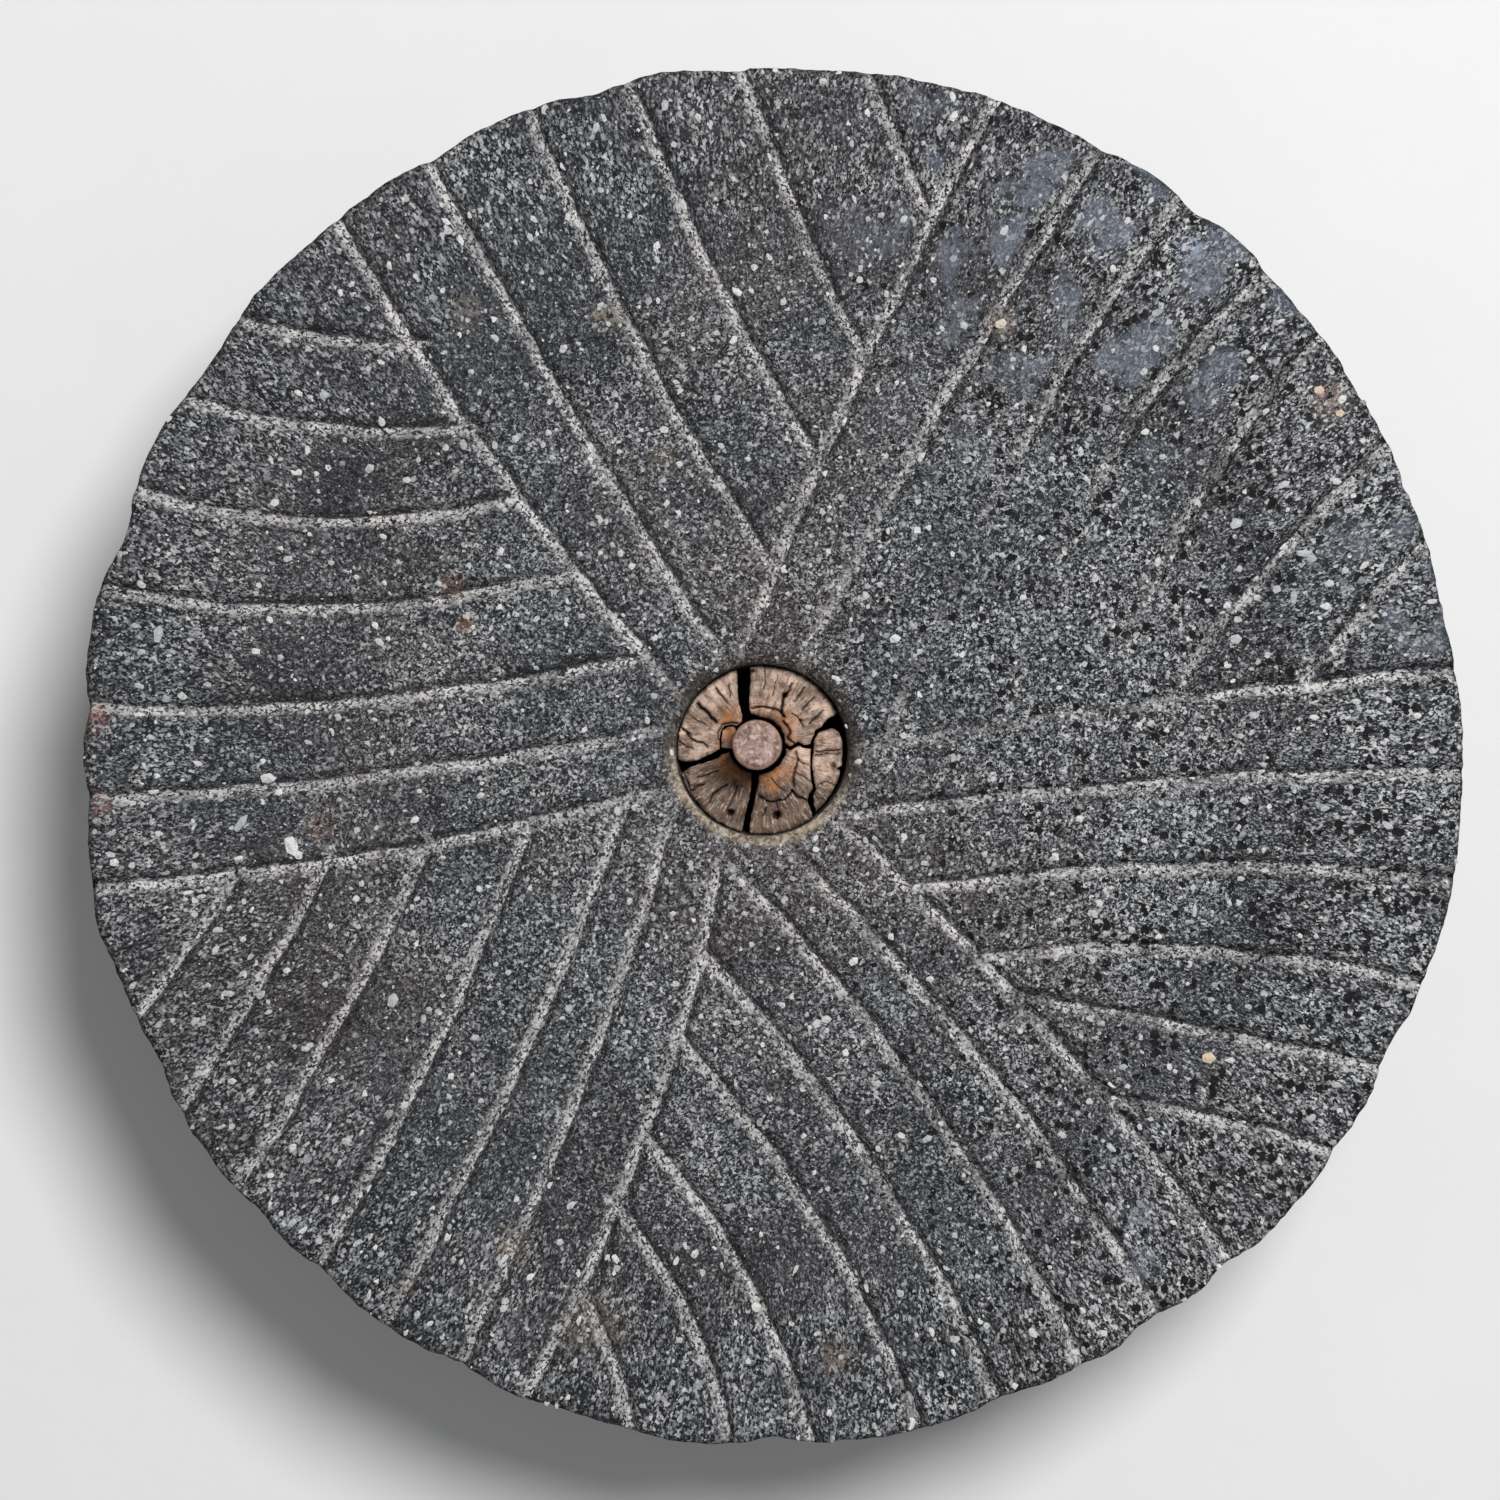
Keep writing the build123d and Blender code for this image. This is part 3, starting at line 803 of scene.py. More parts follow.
# Outline of each piece seen from above, anticlockwise, and by how much its top is sunk.
staves = {
    "plug_upper_right": (
        [(6.1, 0.6), (7.2, -0.3), (9.1, 0.7), (10.5, 0.0), (11.75, 0.3), (11.9, 1.2), (12.7, 3.2),
         (14.2, 4.0), (14.5, 4.7), (15.4, 5.7), (16.6, 6.3)]
        + eye_bow((16.9, 6.9), (-1.5, 17.5))
        + [(-1.4, 14.0), (-1.55, 11.7), (-1.7, 9.0), (-1.45, 7.0), (-0.5, 6.7), (0.1, 6.3)]
        + bow((0.2, 0.0), 6.15, 84, 12, 9), 0.0),
    "plug_upper_left": (
        [(-3.3, 6.3), (-3.95, 9.3), (-4.35, 12.3), (-4.2, 14.6)]
        + eye_bow((-4.3, 16.2), (-17.0, -3.1))
        + [(-15.4, -3.7), (-13.1, -3.35), (-10.8, -2.35), (-9.2, -1.4), (-8.0, -0.9), (-8.15, 1.0),
           (-8.05, 2.8), (-7.3, 4.1), (-5.6, 4.5), (-4.4, 4.3), (-3.4, 4.9)], 0.35),
    "plug_lower_left": (
        [(-5.9, -1.5), (-7.4, -2.1), (-9.45, -3.2), (-12.1, -4.1), (-14.4, -4.75)]
        + eye_bow((-16.2, -6.1), (-3.2, -18.5))
        + [(-2.5, -14.9), (-1.85, -12.6), (-1.35, -10.25), (-1.2, -8.0), (-1.3, -6.3)]
        + bow((-0.1, -0.1), 6.05, 260, 196, 8), 1.2),
    "plug_lower_right": (
        [(0.5, -6.5), (0.4, -8.0), (-0.1, -10.25), (-0.6, -12.6), (-1.2, -14.9)]
        + eye_bow((-1.6, -18.8), (11.9, -15.5))
        + [(12.0, -14.5), (11.1, -12.6), (11.3, -10.9), (12.2, -9.8), (12.0, -8.3), (11.55, -4.9),
           (11.75, -1.6), (11.85, -0.7), (10.5, -0.75), (9.2, -0.15), (7.2, -1.15), (6.3, -0.8)]
        + bow((0.25, -0.2), 6.3, 352, 274, 10), 0.5),
    "plug_sliver": (
        [(14.9, 3.2), (13.5, 2.7), (12.5, 1.0), (12.35, -1.6), (12.15, -4.9), (12.65, -8.3),
         (12.95, -9.9), (12.2, -11.1), (12.4, -13.0), (13.0, -14.6)]
        + eye_bow((13.2, -14.7), (18.5, -6.2), 0.55)
        + [(18.0, -5.4), (17.3, -5.2), (18.3, -4.7)]
        + eye_bow((18.4, -4.6), (18.5, 1.0), 0.75) + [(18.2, 2.2), (17.6, 3.2), (16.4, 3.7)], 0.7),
}
# Drying checks: width, depth and the points that they pass through.
checks = (
    (0.75, 2.6, ((-12.9, 9.0), (-11.4, 7.6), (-10.6, 6.7), (-8.8, 4.9))),
    (0.5, 1.4, ((-8.9, 12.4), (-7.9, 10.9), (-6.5, 9.3))),
    (0.55, 1.6, ((-16.4, 3.8), (-15.4, 2.9), (-14.7, 2.4))),
    (0.5, 1.5, ((-15.4, 2.4), (-13.1, 0.7), (-11.6, 0.5), (-10.8, -0.5))),
    (0.35, 0.9, ((-14.0, 6.0), (-12.4, 4.9), (-11.2, 4.6))),
    (0.3, 0.8, ((-6.3, 13.2), (-5.8, 11.5), (-5.9, 10.2))),
    (0.4, 1.0, ((-16.9, 0.6), (-15.2, -0.4), (-13.9, -0.6))),
    (0.45, 1.2, ((-8.3, 1.2), (-8.5, 2.8), (-7.6, 4.4), (-5.7, 4.9), (-4.2, 4.9))),
    (0.75, 2.8, ((5.9, 10.6), (5.5, 8.6), (5.4, 7.0), (5.9, 6.2))),
    (0.55, 1.6, ((-1.2, 7.9), (1.0, 8.4), (3.4, 8.0), (5.4, 7.2))),
    (0.55, 1.8, ((5.6, 5.2), (6.6, 4.1), (7.4, 2.6), (6.6, 1.4), (9.2, -0.2))),
    (0.5, 1.3, ((5.9, 10.7), (7.2, 12.2), (7.6, 13.6))),
    (0.4, 1.0, ((8.2, 9.4), (9.4, 11.2), (10.4, 12.6))),
    (0.4, 1.1, ((9.9, 7.6), (11.4, 9.3), (12.6, 10.4))),
    (0.4, 1.0, ((11.3, 4.7), (13.2, 6.3), (14.5, 7.6))),
    (0.35, 0.9, ((1.6, 12.2), (1.9, 14.4), (1.7, 16.2))),
    (0.3, 0.8, ((3.5, 10.8), (3.9, 13.0), (4.6, 14.8))),
    (0.35, 0.9, ((7.6, 6.9), (8.9, 6.2), (10.0, 4.2))),
    (0.5, 1.5, ((0.5, -11.2), (1.8, -12.1), (3.6, -12.4), (6.3, -11.9), (7.8, -10.0))),
    (0.6, 1.8, ((7.7, -9.8), (8.9, -11.3), (11.4, -12.2))),
    (0.45, 1.2, ((4.2, -12.6), (4.9, -14.4), (4.5, -16.2))),
    (0.4, 1.1, ((2.2, -13.6), (1.3, -15.4))),
    (0.5, 1.4, ((8.4, -1.3), (9.0, -2.9), (8.5, -5.0), (7.9, -7.2), (8.2, -9.0))),
    (0.35, 0.9, ((9.2, -3.4), (10.2, -4.2), (11.4, -4.2))),
    (0.35, 0.9, ((8.7, -6.0), (10.4, -7.0), (11.6, -8.0))),
    (0.3, 0.8, ((3.1, -7.2), (4.4, -8.8), (6.2, -10.2))),
    (0.4, 1.1, ((-10.4, -12.6), (-9.5, -10.6), (-7.6, -9.3), (-6.6, -8.6))),
    (0.45, 1.2, ((-16.0, -6.0), (-14.9, -8.6), (-14.4, -10.1), (-13.4, -9.0), (-11.5, -8.7))),
    (0.3, 0.8, ((-6.4, -14.2), (-5.0, -11.2), (-4.4, -9.0))),
    (0.3, 0.8, ((-13.2, -7.0), (-10.6, -6.4), (-8.4, -5.6))),
    (0.3, 0.9, ((12.9, -1.5), (15.2, -1.3), (18.4, -1.05))),
    (0.25, 0.7, ((12.8, -2.2), (15.4, -1.95), (18.2, -1.8))),
    (0.3, 0.8, ((13.2, -8.6), (15.0, -8.0), (17.2, -8.9))),
    (0.3, 0.8, ((13.0, -11.4), (14.6, -11.8), (15.6, -12.9))),
)
# Rotted knots: place, size, depth.
knots = (
    (-5.7, -14.8, 1.9, 3.5), (4.4, -15.3, 2.2, 3.5), (6.1, 10.9, 1.5, 3.0), (16.7, -4.6, 1.5, 1.8),
    (-15.2, -6.1, 1.0, 1.5), (-2.2, -17.3, 1.4, 2.5), (-0.9, 16.2, 1.3, 1.5), (9.6, 5.4, 0.8, 1.2),
)


def gap_to(points, chain):
    """Distance of each point from a chain of straight runs."""
    chain = np.array(chain, float)
    best = np.full(len(points), 1e9)
    for a, b in zip(chain[:-1], chain[1:]):
        run = b - a
        share = np.clip((points - a) @ run / (run @ run), 0, 1)
        best = np.minimum(best, np.hypot(*(points - a - share[:, None] * run).T))
    return best


def resample(chain, step, closed=True):
    """Evenly spaced points along a chain, shaken a little so that the edge looks torn."""
    chain = np.array(chain + chain[:1] if closed else chain, float)
    length = np.concatenate(([0], np.cumsum(np.hypot(*np.diff(chain, axis=0).T))))
    travel = np.linspace(0, length[-1], max(3, int(length[-1] / step)), endpoint=not closed)
    points = np.stack([np.interp(travel, length, chain[:, k]) for k in (0, 1)], 1)
    shake = np.array([noise_vector(Vector((x * 0.9, y * 0.9, 5)))[:2] for x, y in points])
    fine = np.array([noise_vector(Vector((x * 2.6, y * 2.6, 9)))[:2] for x, y in points])
    return points + 0.2 * shake + 0.09 * fine


def within(points, outline):
    """Which points lie inside a closed outline."""
    inside = np.zeros(len(points), bool)
    for (x1, y1), (x2, y2) in zip(outline, np.roll(outline, -1, axis=0)):
        crosses = (y1 > points[:, 1]) != (y2 > points[:, 1])
        inside ^= crosses & (points[:, 0] < (x2 - x1) * (points[:, 1] - y1) / (y2 - y1 + 1e-12) + x1)
    return inside


check_points = [resample(list(chain), 0.22, closed=False) for _, _, chain in checks]
wood_rows = np.array([(x * 0.42 + 0.21 * (y % 2), y * 0.364) for x in range(-50, 51) for y in range(-56, 57)])
wood_rows = wood_rows + (ex, ey) + rng.uniform(-0.06, 0.06, wood_rows.shape)


def relief_of(points, outline, sunk):
    """Height of the end grain above the plug's top, and how much painted shade each place takes in a check or
    a knot hole, from 0 to 1.
    """
    height = np.full(len(points), -sunk)
    height += np.array([
        0.9 * fractal(Vector((x * 0.16, y * 0.16, sunk * 7)), 0.6, 2.0, 4) for x, y in points])
    ray = np.arctan2(points[:, 1], points[:, 0])
    out = np.hypot(*points.T)
    height += 0.05 * np.sin(out * 9 + 2 * np.sin(3 * ray)) + 0.07 * np.sin(ray * 60 + 0.6 * out)
    painted_hollow_shade = np.zeros(len(points))
    for (width, depth, _), chain in zip(checks, check_points):
        near = 1 - gap_to(points, chain) / (width * 0.55)
        height -= depth * np.clip(near, 0, 1) ** 0.8
        painted_hollow_shade = np.maximum(painted_hollow_shade, np.clip(near * 1.3, 0, 1))
    for x, y, size, depth in knots:
        near = 1 - (np.hypot(points[:, 0] - x, points[:, 1] - y) / (size * 0.5)) ** 2
        height -= depth * np.clip(near, 0, 1)
        painted_hollow_shade = np.maximum(painted_hollow_shade, np.clip(near * 1.2, 0, 1) * 0.9)
    edge = gap_to(points, np.vstack((outline, outline[:1])))
    height -= 0.75 * np.clip(1 - edge / 0.6, 0, 1) ** 2
    return np.minimum(height, 0.55), painted_hollow_shade


def closed_piece(name, outline, sunk, foot, taper, levels=(1.5, 4, 9, 18, 36)):
    """A solid with a rugged top, straight torn walls and a flat foot, from its outline."""
    edge = resample(outline, 0.36)
    count = len(edge)
    inner = wood_rows[within(wood_rows, edge)]
    inner = inner[gap_to(inner, np.vstack((edge, edge[:1]))) > 0.22]
    along = np.vstack([
        chain + shift for chain in check_points for shift in ((0, 0), (0.24, 0.1), (-0.24, -0.1))])
    along = along[within(along, edge)]
    along = along[gap_to(along, np.vstack((edge, edge[:1]))) > 0.2]
    spots = [Vector(q) for q in np.vstack((edge, inner, along))]
    found, _, tops, *_ = delaunay_2d_cdt(spots, [], [list(range(count))], 1, 1e-4)
    plan = np.array([(q.x, q.y) for q in found])
    height, painted_hollow_shade = relief_of(plan, edge, sunk)
    corners = [(x, y, plug_top + h) for (x, y), h in zip(plan, height)]
    painted_hollow_shades = list(painted_hollow_shade)
    faces = [list(f) for f in tops]
    zones = [0] * len(faces)
    previous = list(range(count))
    middle = np.array((ex, ey))
    for depth in (*levels, plug_top - foot):
        share = 1 - taper * depth * np.clip(np.hypot(*(edge - middle).T) / plug_edge, 0, 1) ** 6
        ring_now = middle + (edge - middle) * share[:, None]
        start = len(corners)
        low = plug_top - depth
        drops = [min(h, 0) if depth < 5 else 0 for h in height[:count]]
        corners += [(x, y, low + drop) for (x, y), drop in zip(ring_now, drops)]
        painted_hollow_shades += [0.0] * count
        this = list(range(start, start + count))
        for i in range(count):
            j = (i + 1) % count
            faces.append([previous[i], this[i], this[j], previous[j]])
            zones.append(1)
        previous = this
    foot_plan = [Vector(corners[i][:2]) for i in previous]
    _, _, bottom, *_ = delaunay_2d_cdt(foot_plan, [], [list(range(count))], 1, 1e-4)
    faces += [[previous[i] for i in reversed(f)] for f in bottom]
    zones += [2] * len(bottom)
    mesh = bpy.data.meshes.new(name)
    mesh.from_pydata([(x * mm, y * mm, z * mm) for x, y, z in corners], [], faces)
    mark(mesh, "painted_hollow_shade", painted_hollow_shades)
    mesh.shade_smooth()
    piece = stand(name, mesh)
    # The top and the foot lie flat on the map; the wall runs along its edge.
    low_x, low_y = plan.min(0)
    span = (plan.max(0) - plan.min(0)).max()
    spots = []
    for polygon, zone in zip(mesh.polygons, zones):
        order = [i if i < count else (i - len(plan)) % count for i in polygon.vertices]
        seam = 0 in order and count - 1 in order
        for i, place in zip(polygon.vertices, order):
            x, y, z = corners[i]
            if zone == 1:
                place = count if seam and place == 0 else place
                spots.append((0.005 + 0.99 * place / count, 0.28 * (z - foot) / (plug_top - foot + 1)))
            else:
                left, down, size = (0.72, 0.72, 0.26) if zone else (0.01, 0.31, 0.68)
                spots.append((left + size * (x - low_x) / span, down + size * (y - low_y) / span))
    lay_out(piece, np.array(spots))
    return piece


wood = Finish("old_end_grain")
p = wood.place
level = p * (1, 1, 0)
out = length(level)
parts_of = parts(p)
bearing = maths("ARCTAN2", parts_of[1], parts_of[0])
# Rays: noise on the bearing, so that it runs out from the heart of the wood.
polar = combine(bearing * 0.011, out * 0.16, 0.3)
rays = cloud(polar, 0.28 * mm, 3, 0.7)
broad_rays = cloud(polar, 0.9 * mm, 3, 0.65)
wavy = out + cloud(p, 5 * mm, 3) * (1.7 * mm)
rings = cloud(combine(wavy, 0.0, 0.0), 1 / 2300)
ring_line = between(rings, 0.56, 0.68)
shade = cloud(p, 4.5 * mm, 4, 0.6)
wood.colour = mix(between(shade, 0.35, 0.65), rgb(134, 108, 94), rgb(218, 190, 172))
greyer = between(cloud(p + (0.1, 0.2, 0.0), 7 * mm, 3), 0.45, 0.65)
wood.coat(greyer * 0.6, rgb(132, 118, 106))
lower = between(parts_of[0] * 0.3 + parts_of[1] * 1.6, -4 * mm, -15 * mm)
wood.coat(lower * 0.74, rgb(76, 61, 50))
wood.coat(between(rays, 0.5, 0.7) * 0.6, rgb(232, 210, 192))
wood.coat(between(rays, 0.42, 0.3) * 0.7, rgb(44, 33, 25))
wood.coat(between(broad_rays, 0.52, 0.36) * 0.55, rgb(84, 62, 48))
wood.coat(ring_line * 0.28, rgb(88, 64, 46))
# Rust from the pin.
stain_edge = out + (cloud(p, 4 * mm, 3) - 0.5) * (9 * mm)
stain = between(stain_edge, 7.0 * mm, 11.5 * mm, 1, 0)
strong = between(cloud(p + (0.31, 0.17, 0.0), 5 * mm, 2), 0.38, 0.6, 0.35, 1.0)
wood.coat(stain * strong * 0.75, mix(cloud(p, 1.2 * mm, 3), rgb(126, 70, 32), rgb(218, 146, 84)))
# A darker brown ring close round the pin.
dark_ring_round_pin = between(stain_edge, 6.4 * mm, 8.4 * mm, 1, 0) * 0.45
wood.coat(dark_ring_round_pin, rgb(70, 46, 32))
specks = between(cloud(p, 0.5 * mm, 2, 0.7), 0.6, 0.74)
wood.coat(specks * 0.65, rgb(46, 34, 26))
# Painted shade, near-black, in the checks and the knot holes.
wood.coat(wood.attribute("painted_hollow_shade"), rgb(12, 9, 7))
# Painted shade on the wood that lies more than 1.6 mm below the top, dark from 3.2 mm down: the walls of the
# staves and of the checks, deep in the eye.
painted_depth_shade = between(parts_of[2], (plug_top - 3.2) * mm, (plug_top - 1.6) * mm, 1, 0)
wood.coat(painted_depth_shade * 0.85, mix(rays, rgb(20, 14, 10), rgb(58, 42, 30)))
relief = rays * 0.5 + broad_rays * 0.8 - ring_line * 0.35 - specks * 0.5
wood_material = wood.finish(0.86, bump(relief, 0.32 * mm), Specular_IOR_Level=0.25)

for name, (outline, sunk) in staves.items():
    stave = closed_piece(name + "_grain", outline, sunk, plug_foot, 0.00135)
    stave.data.materials.append(wood_material)
    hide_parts(name)
    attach(stave, "root")

# === The wedge ==============================================================================
# A riven slip of wood, driven down beside the tang to tighten it, stained through with rust.
wedge_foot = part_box("pin_wedge")[0].z / mm
wedge_outline = [
    (-5.6, -0.7), (-4.4, -0.6), (-4.5, 3.4), (-5.2, 4.0), (-6.6, 3.9), (-7.6, 3.1), (-7.75, 1.2),
    (-7.6, -0.5), (-6.8, -0.9)]
wedge = closed_piece("pin_wedge_riven", wedge_outline, 0.25, wedge_foot, 0.0, (1.5, 5, 12))
wedge.data.materials.append(wood_material)
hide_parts("pin_wedge")
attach(wedge, "root")

# === The spindle pin ========================================================================
# A hand-forged iron pin: round on top, where the runner's socket sat on it, with a painted
# highlight on the edge of its top; dented along its neck, and square where it is driven into the wood.
_, pin_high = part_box("spindle_pin")
pin_top = pin_high.z / mm
pin_profile = (  # radius and how far down
    (0.0, 0.0), (1.0, 0.0), (2.0, -0.03), (3.0, -0.08), (3.8, -0.16), (4.4, -0.28), (4.8, -0.45),
    (5.1, -0.75), (5.32, -1.15), (5.42, -1.8), (5.44, -3.0), (5.42, -5.0), (5.38, -7.5),
    (5.36, -10.0), (5.4, -12.5), (5.42, -15.0), (5.44, -17.5), (5.44, -19.4), (5.2, -20.4),
)
pin_turns = 72
pin_corners, pin_faces = [(0, 0, pin_top)], []
for step_down, (radius, drop) in enumerate(pin_profile[1:]):
    for k in range(pin_turns):
        angle = 2 * np.pi * k / pin_turns
        x, y, z = radius * np.cos(angle), radius * np.sin(angle), pin_top + drop
        dent = noise_vector(Vector((x * 0.45, y * 0.45, z * 0.3)))
        fine = noise_vector(Vector((x * 1.4, y * 1.4, z * 1.1)))
        give = (0.12 * dent.x + 0.05 * fine.x) * min(1, radius / 5) - 0.06
        x, y = x * (1 + give / max(radius, 1)), y * (1 + give / max(radius, 1))
        pin_corners.append((x, y, z - 0.05 + 0.05 * fine.z))
        first, following = 1 + step_down * pin_turns, 1 + step_down * pin_turns + (k + 1) % pin_turns
        if step_down == 0:
            pin_faces.append([0, 1 + k, following])
        else:
            above, above_next = first - pin_turns + k, following - pin_turns
            pin_faces.append([above, first + k, following, above_next])
for drop, side in ((-20.6, 3.7), (-30, 3.66), (-40, 3.62), (-52, 3.6), (-64, 2.5), (-75.9, 1.45)):
    start = len(pin_corners)
    for k in range(pin_turns):
        angle = 2 * np.pi * k / pin_turns
        reach_here = min(side / max(abs(np.cos(angle)), abs(np.sin(angle))), side * 1.36)
        pin_corners.append((reach_here * np.cos(angle), reach_here * np.sin(angle), pin_top + drop))
        a, b = start - pin_turns + k, start - pin_turns + (k + 1) % pin_turns
        pin_faces.append([a, start + k, start + (k + 1) % pin_turns, b])
pin_corners.append((0, 0, pin_top - 76))
pin_faces += [[len(pin_corners) - 1, start + (k + 1) % pin_turns, start + k] for k in range(pin_turns)]
pin_mesh = bpy.data.meshes.new("spindle_pin_forged")
pin_mesh.from_pydata([(x * mm, y * mm, z * mm) for x, y, z in pin_corners], [], pin_faces)
pin_mesh.shade_smooth()
pin = stand("spindle_pin_forged", pin_mesh)

iron = Finish("rusted_iron")
p = iron.place
parts_of = parts(p)
out = length(p * (1, 1, 0))
iron.colour = mix(between(cloud(p, 2.2 * mm, 4, 0.65), 0.36, 0.64), rgb(112, 86, 78), rgb(172, 146, 136))
iron.coat(between(cloud(p + (0.1, 0.1, 0.1), 1.1 * mm, 3), 0.52, 0.66) * 0.8, rgb(206, 180, 168))
iron.coat(between(cloud(p + (0.3, 0.0, 0.1), 0.8 * mm, 3), 0.55, 0.7) * 0.7, rgb(58, 42, 42))
iron.coat(between(cloud(p + (0.2, 0.5, 0.1), 1.6 * mm, 3), 0.58, 0.74) * 0.55, rgb(168, 124, 100))
# Painted highlight: a lighter brown on the rounded edge of the top.
painted_rim_highlight = between(out, 4.5 * mm, 5.1 * mm)
painted_rim_highlight = painted_rim_highlight * between(parts_of[2], (pin_top - 1.6) * mm, (pin_top - 0.9) * mm)
iron.coat(painted_rim_highlight * 0.7, rgb(196, 156, 132))
neck = between(parts_of[2], (pin_top - 12) * mm, (pin_top - 4) * mm, 1, 0)
iron.coat(neck * 0.7, mix(cloud(p, 2 * mm, 3), rgb(58, 34, 24), rgb(128, 74, 44)))
pitted = cloud(p, 0.9 * mm, 4, 0.75)
iron_material = iron.finish(between(pitted, 0.3, 0.7, 0.42, 0.68), bump(pitted, 0.35 * mm),
                            Metallic=0.25)
pin.data.materials.append(iron_material)
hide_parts("spindle_pin")
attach(pin, "root")

# === Feldspar crystals ======================================================================
# Pale crystals that stand in the dark ground and are cut off level with the face. The many
# small ones lie at random, drawn out towards the rim; the large ones have their places.
marked = (  # x, y, length, width in mm, turn in degrees, tone from grey 0 to cream 1
    (-106, -7.6, 4.4, 3.0, 20, 0.66), (-103.8, -10, 2.4, 2.0, 60, 0.78), (-101, -22, 5.2, 3.2, -70, 0.75),
    (-99.6, -24.4, 2.6, 2.0, -40, 0.7), (-112, -17, 5.4, 1.9, 52, 0.42), (-130, 24, 4.6, 2.3, 80, 0.4),
    (-94, 76, 2.4, 1.9, 10, 0.5), (-84, 60, 2.6, 2.2, 45, 0.45), (-76, 57.5, 2.4, 1.6, 0, 0.6),
    (-62, 81, 1.8, 1.5, 0, 0.6), (-67, 111.5, 2.4, 1.8, 0, 0.6), (-60, -11, 2.2, 1.7, 30, 0.6),
    (-139.5, -25.5, 2.4, 1.9, 0, 0.8), (-122, -60, 2.8, 1.7, 40, 0.5), (-114.5, -54, 2.4, 1.7, 0, 0.6),
    (-108, -54, 3.4, 2.2, 20, 0.45), (-79, -55.5, 3.9, 2.6, 70, 0.5), (-98, -66, 2.3, 1.6, 0, 0.6),
    (-94, -66, 2.2, 1.5, 80, 0.5), (-114, -73, 2.3, 1.7, 0, 0.6), (-89, -86, 2.6, 2.0, 0, 0.5),
    (-76, -78.5, 2.8, 1.9, 30, 0.6), (-42, 86, 2.8, 1.8, 60, 0.6), (-35, 134, 2.8, 1.6, 70, 0.5),
    (45, 91, 2.2, 1.8, 0, 0.6), (53, 91.5, 3.6, 2.6, 10, 0.9), (27, 115, 1.9, 1.5, 0, 0.5),
    (35, 63, 2.9, 2.1, 60, 0.65), (46, 62, 1.9, 1.5, 0, 0.5), (64, 62, 1.9, 1.6, 0, 0.6),
    (88, 62.5, 1.9, 1.5, 0, 0.6), (76, 73, 2.4, 1.9, 0, 0.3), (84, 81, 2.3, 1.6, 40, 0.6),
    (110, 73, 2.3, 1.7, 20, 0.7), (122, 77, 2.9, 2.2, 0, 0.95), (127, 75, 2.5, 2.0, 40, 0.85),
    (126.5, 72, 2.4, 1.9, 0, 0.95), (104, 48, 3.4, 2.4, 30, 0.5), (104, 23, 3.2, 2.4, 0, 0.4),
    (108.5, 32, 1.9, 1.5, 0, 0.6), (116.5, 32, 3.4, 1.6, 85, 0.4), (126, 57, 2.4, 1.8, 0, 0.6),
    (14.5, 144, 2.3, 1.7, 0, 0.6), (30, 23, 2.9, 2.2, 15, 0.8), (0, -122, 3.4, 2.6, 20, 0.7),
    (-13.5, -110.5, 2.4, 1.8, 60, 0.7), (98, -68, 3.7, 2.9, 0, 1.0), (95, -36, 3.6, 1.4, 85, 0.6),
    (65, -46, 2.9, 1.4, 80, 0.6), (15, -59.5, 2.7, 2.0, 0, 0.6), (21, -47, 2.7, 1.9, 40, 0.7),
    (26, -73.5, 2.3, 1.7, 0, 0.5), (37, -85.5, 2.7, 1.7, 30, 0.5), (43, -129, 2.7, 1.9, 0, 0.6),
    (70, -16, 2.3, 1.8, 0, 0.7), (105, 2, 1.9, 1.5, 0, 0.6), (105, -29, 1.9, 1.5, 0, 0.6),
    (22, -3.6, 1.9, 1.5, 0, 0.9), (17.2, 14.4, 2.8, 1.3, -25, 0.75), (-38, 28, 2.0, 1.4, 0, 0.6),
    (-2, 62, 1.8, 1.3, 0, 0.6), (-88, 100, 2.0, 1.4, 30, 0.6), (-17, 117, 2.0, 1.5, 70, 0.5),
)
marks = bpy.data.meshes.new("marked_crystals")
marks.from_pydata([(x * mm, y * mm, face_z) for x, y, *_ in marked], [], [])
sizes = np.array([(a / 2 * mm, b / 2 * mm, 0.6 * mm) for _, _, a, b, *_ in marked])
mark(marks, "crystal_size", sizes, "FLOAT_VECTOR")
mark(marks, "crystal_turn", [np.radians(m[4]) for m in marked])
mark(marks, "tone", [m[5] for m in marked])
marked_crystals = stand("marked_crystals", marks)

feldspar = Finish("feldspar")
p = feldspar.place
hue = feldspar.attribute("tone")
feldspar.colour = mix(between(hue, 0.0, 0.45), rgb(108, 111, 114), rgb(176, 178, 178))
feldspar.coat(between(hue, 0.45, 0.78), rgb(214, 213, 208))
feldspar.coat(between(hue, 0.82, 0.97), rgb(206, 184, 160))
broken = between(cells(p, 0.7 * mm, feature="DISTANCE_TO_EDGE"), 0.0, 0.09, 1, 0)
feldspar.coat(broken * 0.35, rgb(92, 94, 96))
feldspar.coat(between(cloud(p, 0.6 * mm, 3), 0.5, 0.7) * 0.5, rgb(108, 110, 112))
feldspar_material = feldspar.finish(0.48, bump(cloud(p, 0.5 * mm, 3), 0.2 * mm))

tree, given = new_tree("crystals", {
    "Marked": "Object", "Closest": "Float", "Number": "Float", "Smallest": "Float", "Largest": "Float",
    "Raggedness": "Float", "Seed": "Int", "Crystal": "Material"})
upright = parts(put(tree, "GeometryNodeInputNormal"))[2]
level_face = kept(tree, "dressed") * (upright > 0.72)
on_face = after("FunctionNodeCompare", {0: level_face, 1: 0.5}, operation="GREATER_THAN", data_type="FLOAT")
scattered = after("GeometryNodeDistributePointsOnFaces", {
    "Mesh": given["Geometry"], "Selection": on_face, "Distance Min": given["Closest"],
    "Density Max": given["Number"], "Seed": given["Seed"]}, distribute_method="POISSON")


def chance(low, high, more):
    seed = given["Seed"] + float(more)
    return after("FunctionNodeRandomValue", {2: low, 3: high, 8: seed}, 1, data_type="FLOAT")


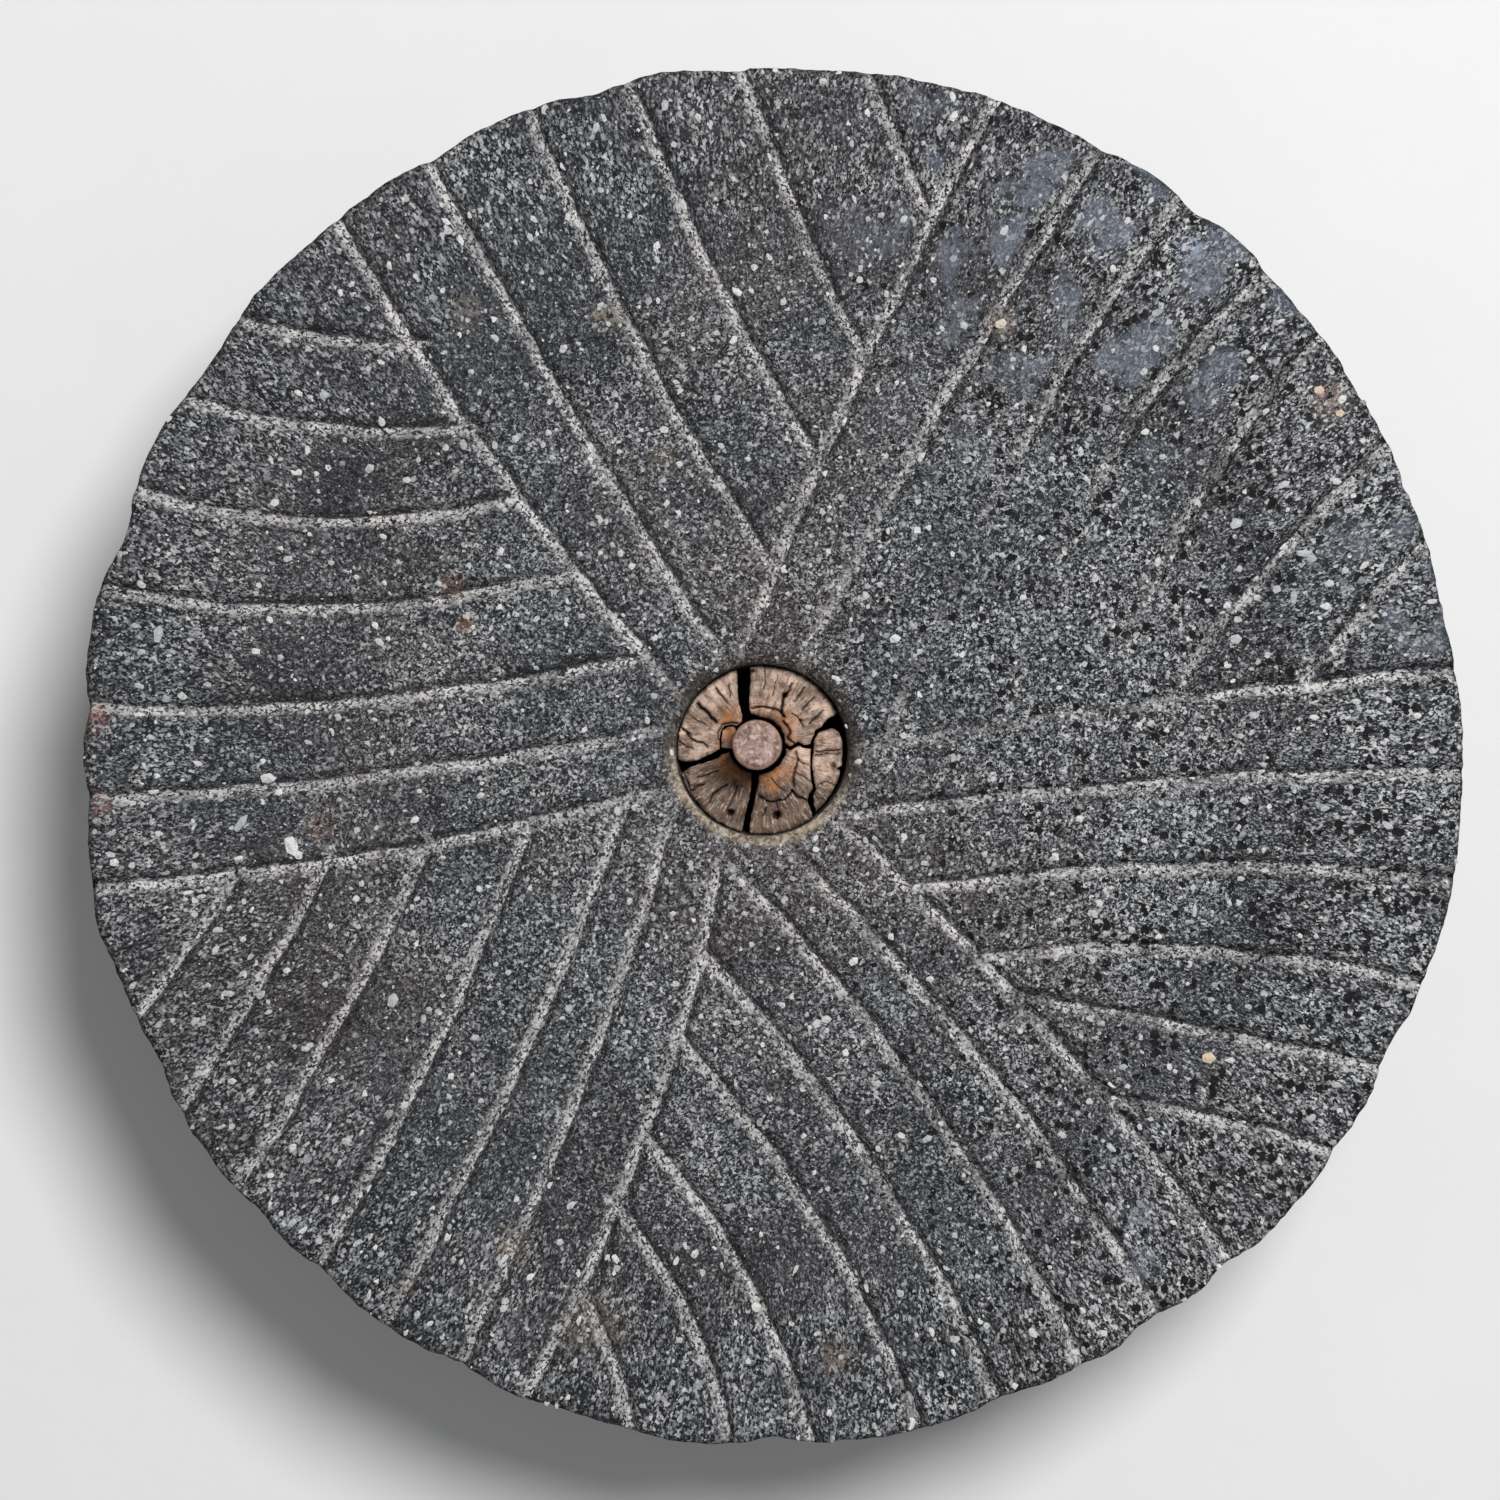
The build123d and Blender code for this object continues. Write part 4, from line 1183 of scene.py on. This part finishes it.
here = put(tree, "GeometryNodeInputPosition")
width = between(chance(0.0, 1.0, 1) ** 5.0, 0.0, 1.0, given["Smallest"], given["Largest"], smooth=False)
out = length(here * (1, 1, 0))
stretch = chance(0.85, 1.5, 2) * between(out, 60 * mm, 150 * mm, 1.0, 1.35)
size = combine(width * stretch, width, 0.2 * mm)
coordinates = parts(here)
bearing = maths("ARCTAN2", coordinates[1], coordinates[0])
loose = chance(-1.6, 1.6, 3) * between(out, 60 * mm, 140 * mm, 1.0, 0.3)
scattered = store(scattered, "crystal_size", size, "FLOAT_VECTOR")
scattered = store(scattered, "crystal_turn", bearing + loose)
scattered = store(scattered, "tone", maths("SQRT", chance(0.0, 1.0, 4)) * 0.72)
chosen = after("GeometryNodeObjectInfo", {"Object": given["Marked"]}, "Geometry")
chosen = after("GeometryNodeMeshToPoints", {"Mesh": chosen})
ground_here = after("GeometryNodeProximity", {0: given["Geometry"]}, "Position", target_element="FACES")
chosen = after("GeometryNodeSetPosition", {"Geometry": chosen, "Position": ground_here})
both = after("GeometryNodeJoinGeometry", {0: scattered})
tree.links.new(chosen.socket, both.socket.node.inputs[0])
lump = put(tree, "GeometryNodeMeshIcoSphere", {"Radius": 1.0, "Subdivisions": 1})
turned = combine(0.0, 0.0, kept(tree, "crystal_turn"))
sized = kept(tree, "crystal_size", "FLOAT_VECTOR")
placed = after("GeometryNodeInstanceOnPoints", {
    "Points": both, "Instance": lump, "Rotation": turned, "Scale": sized})
placed = after("GeometryNodeRealizeInstances", {"Geometry": placed})
jag = after("ShaderNodeTexNoise", {"Vector": here, "Scale": 1500.0, "Detail": 1.0}, "Color")
jag = (jag - (0.5, 0.5, 0.62)) * given["Raggedness"]
placed = after("GeometryNodeSetPosition", {"Geometry": placed, "Offset": jag})
end_tree(placed, given["Crystal"])
host = stand("crystal_host", bed_stone.data.copy())
crystals = grow(host, tree, "feldspar_crystals", {
    "Marked": marked_crystals, "Closest": 1.3 * mm, "Number": 110000.0, "Smallest": 0.20 * mm,
    "Largest": 0.95 * mm, "Raggedness": 0.7 * mm, "Seed": 11, "Crystal": feldspar_material})
bpy.data.objects.remove(marked_crystals)
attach(crystals, "root")

# === Camera, floor and light ==============================================================
# The stone lies on a plain pale floor, under one soft lamp from the upper right and an
# even pale sky, and is looked at from straight above.
view_centre = np.array((-1.5, -1.1)) * mm
view_height = 0.95
view_width = 0.3256  # seen at the height of the face
lamp_distance = 1.6
camera_data = bpy.data.cameras.new("camera")
camera_data.sensor_width = 36
camera_data.lens = camera_data.sensor_width * view_height / view_width
camera = stand("camera", camera_data)
camera.location = (*view_centre, face_z + view_height)
bpy.context.scene.camera = camera

floor_mesh = bpy.data.meshes.new("floor")
floor_mesh.from_pydata([(-4, -4, 0), (4, -4, 0), (4, 4, 0), (-4, 4, 0)], [], [(0, 1, 2, 3)])
floor = stand("floor", floor_mesh)
plaster = Finish("pale_floor")
plaster.colour = mix(cloud(plaster.place, 40 * mm, 5, 0.6), rgb(224, 224, 223), rgb(229, 229, 228))
floor_mesh.materials.append(plaster.finish(0.75, bump(cloud(plaster.place, 5 * mm, 4), 0.05 * mm)))

lamp_data = bpy.data.lights.new("lamp", "AREA")
lamp_data.shape = "DISK"
lamp_data.size = 0.47
lamp_data.energy = 25.5
lamp = stand("lamp", lamp_data)
toward = Vector((0.26, 0.34, 1.10)).normalized()
lamp.location = Vector((0, 0, 0.09)) + toward * lamp_distance
lamp.rotation_euler = toward.to_track_quat("Z", "Y").to_euler()
sky = bpy.data.worlds.new("sky")
sky.use_nodes = True
sky.node_tree.nodes["Background"].inputs["Color"].default_value = (0.97, 0.98, 1, 1)
sky.node_tree.nodes["Background"].inputs["Strength"].default_value = 0.28
bpy.context.scene.world = sky
bpy.context.scene.view_settings.view_transform = "Standard"

bpy.data.objects.remove(furrow_lines)
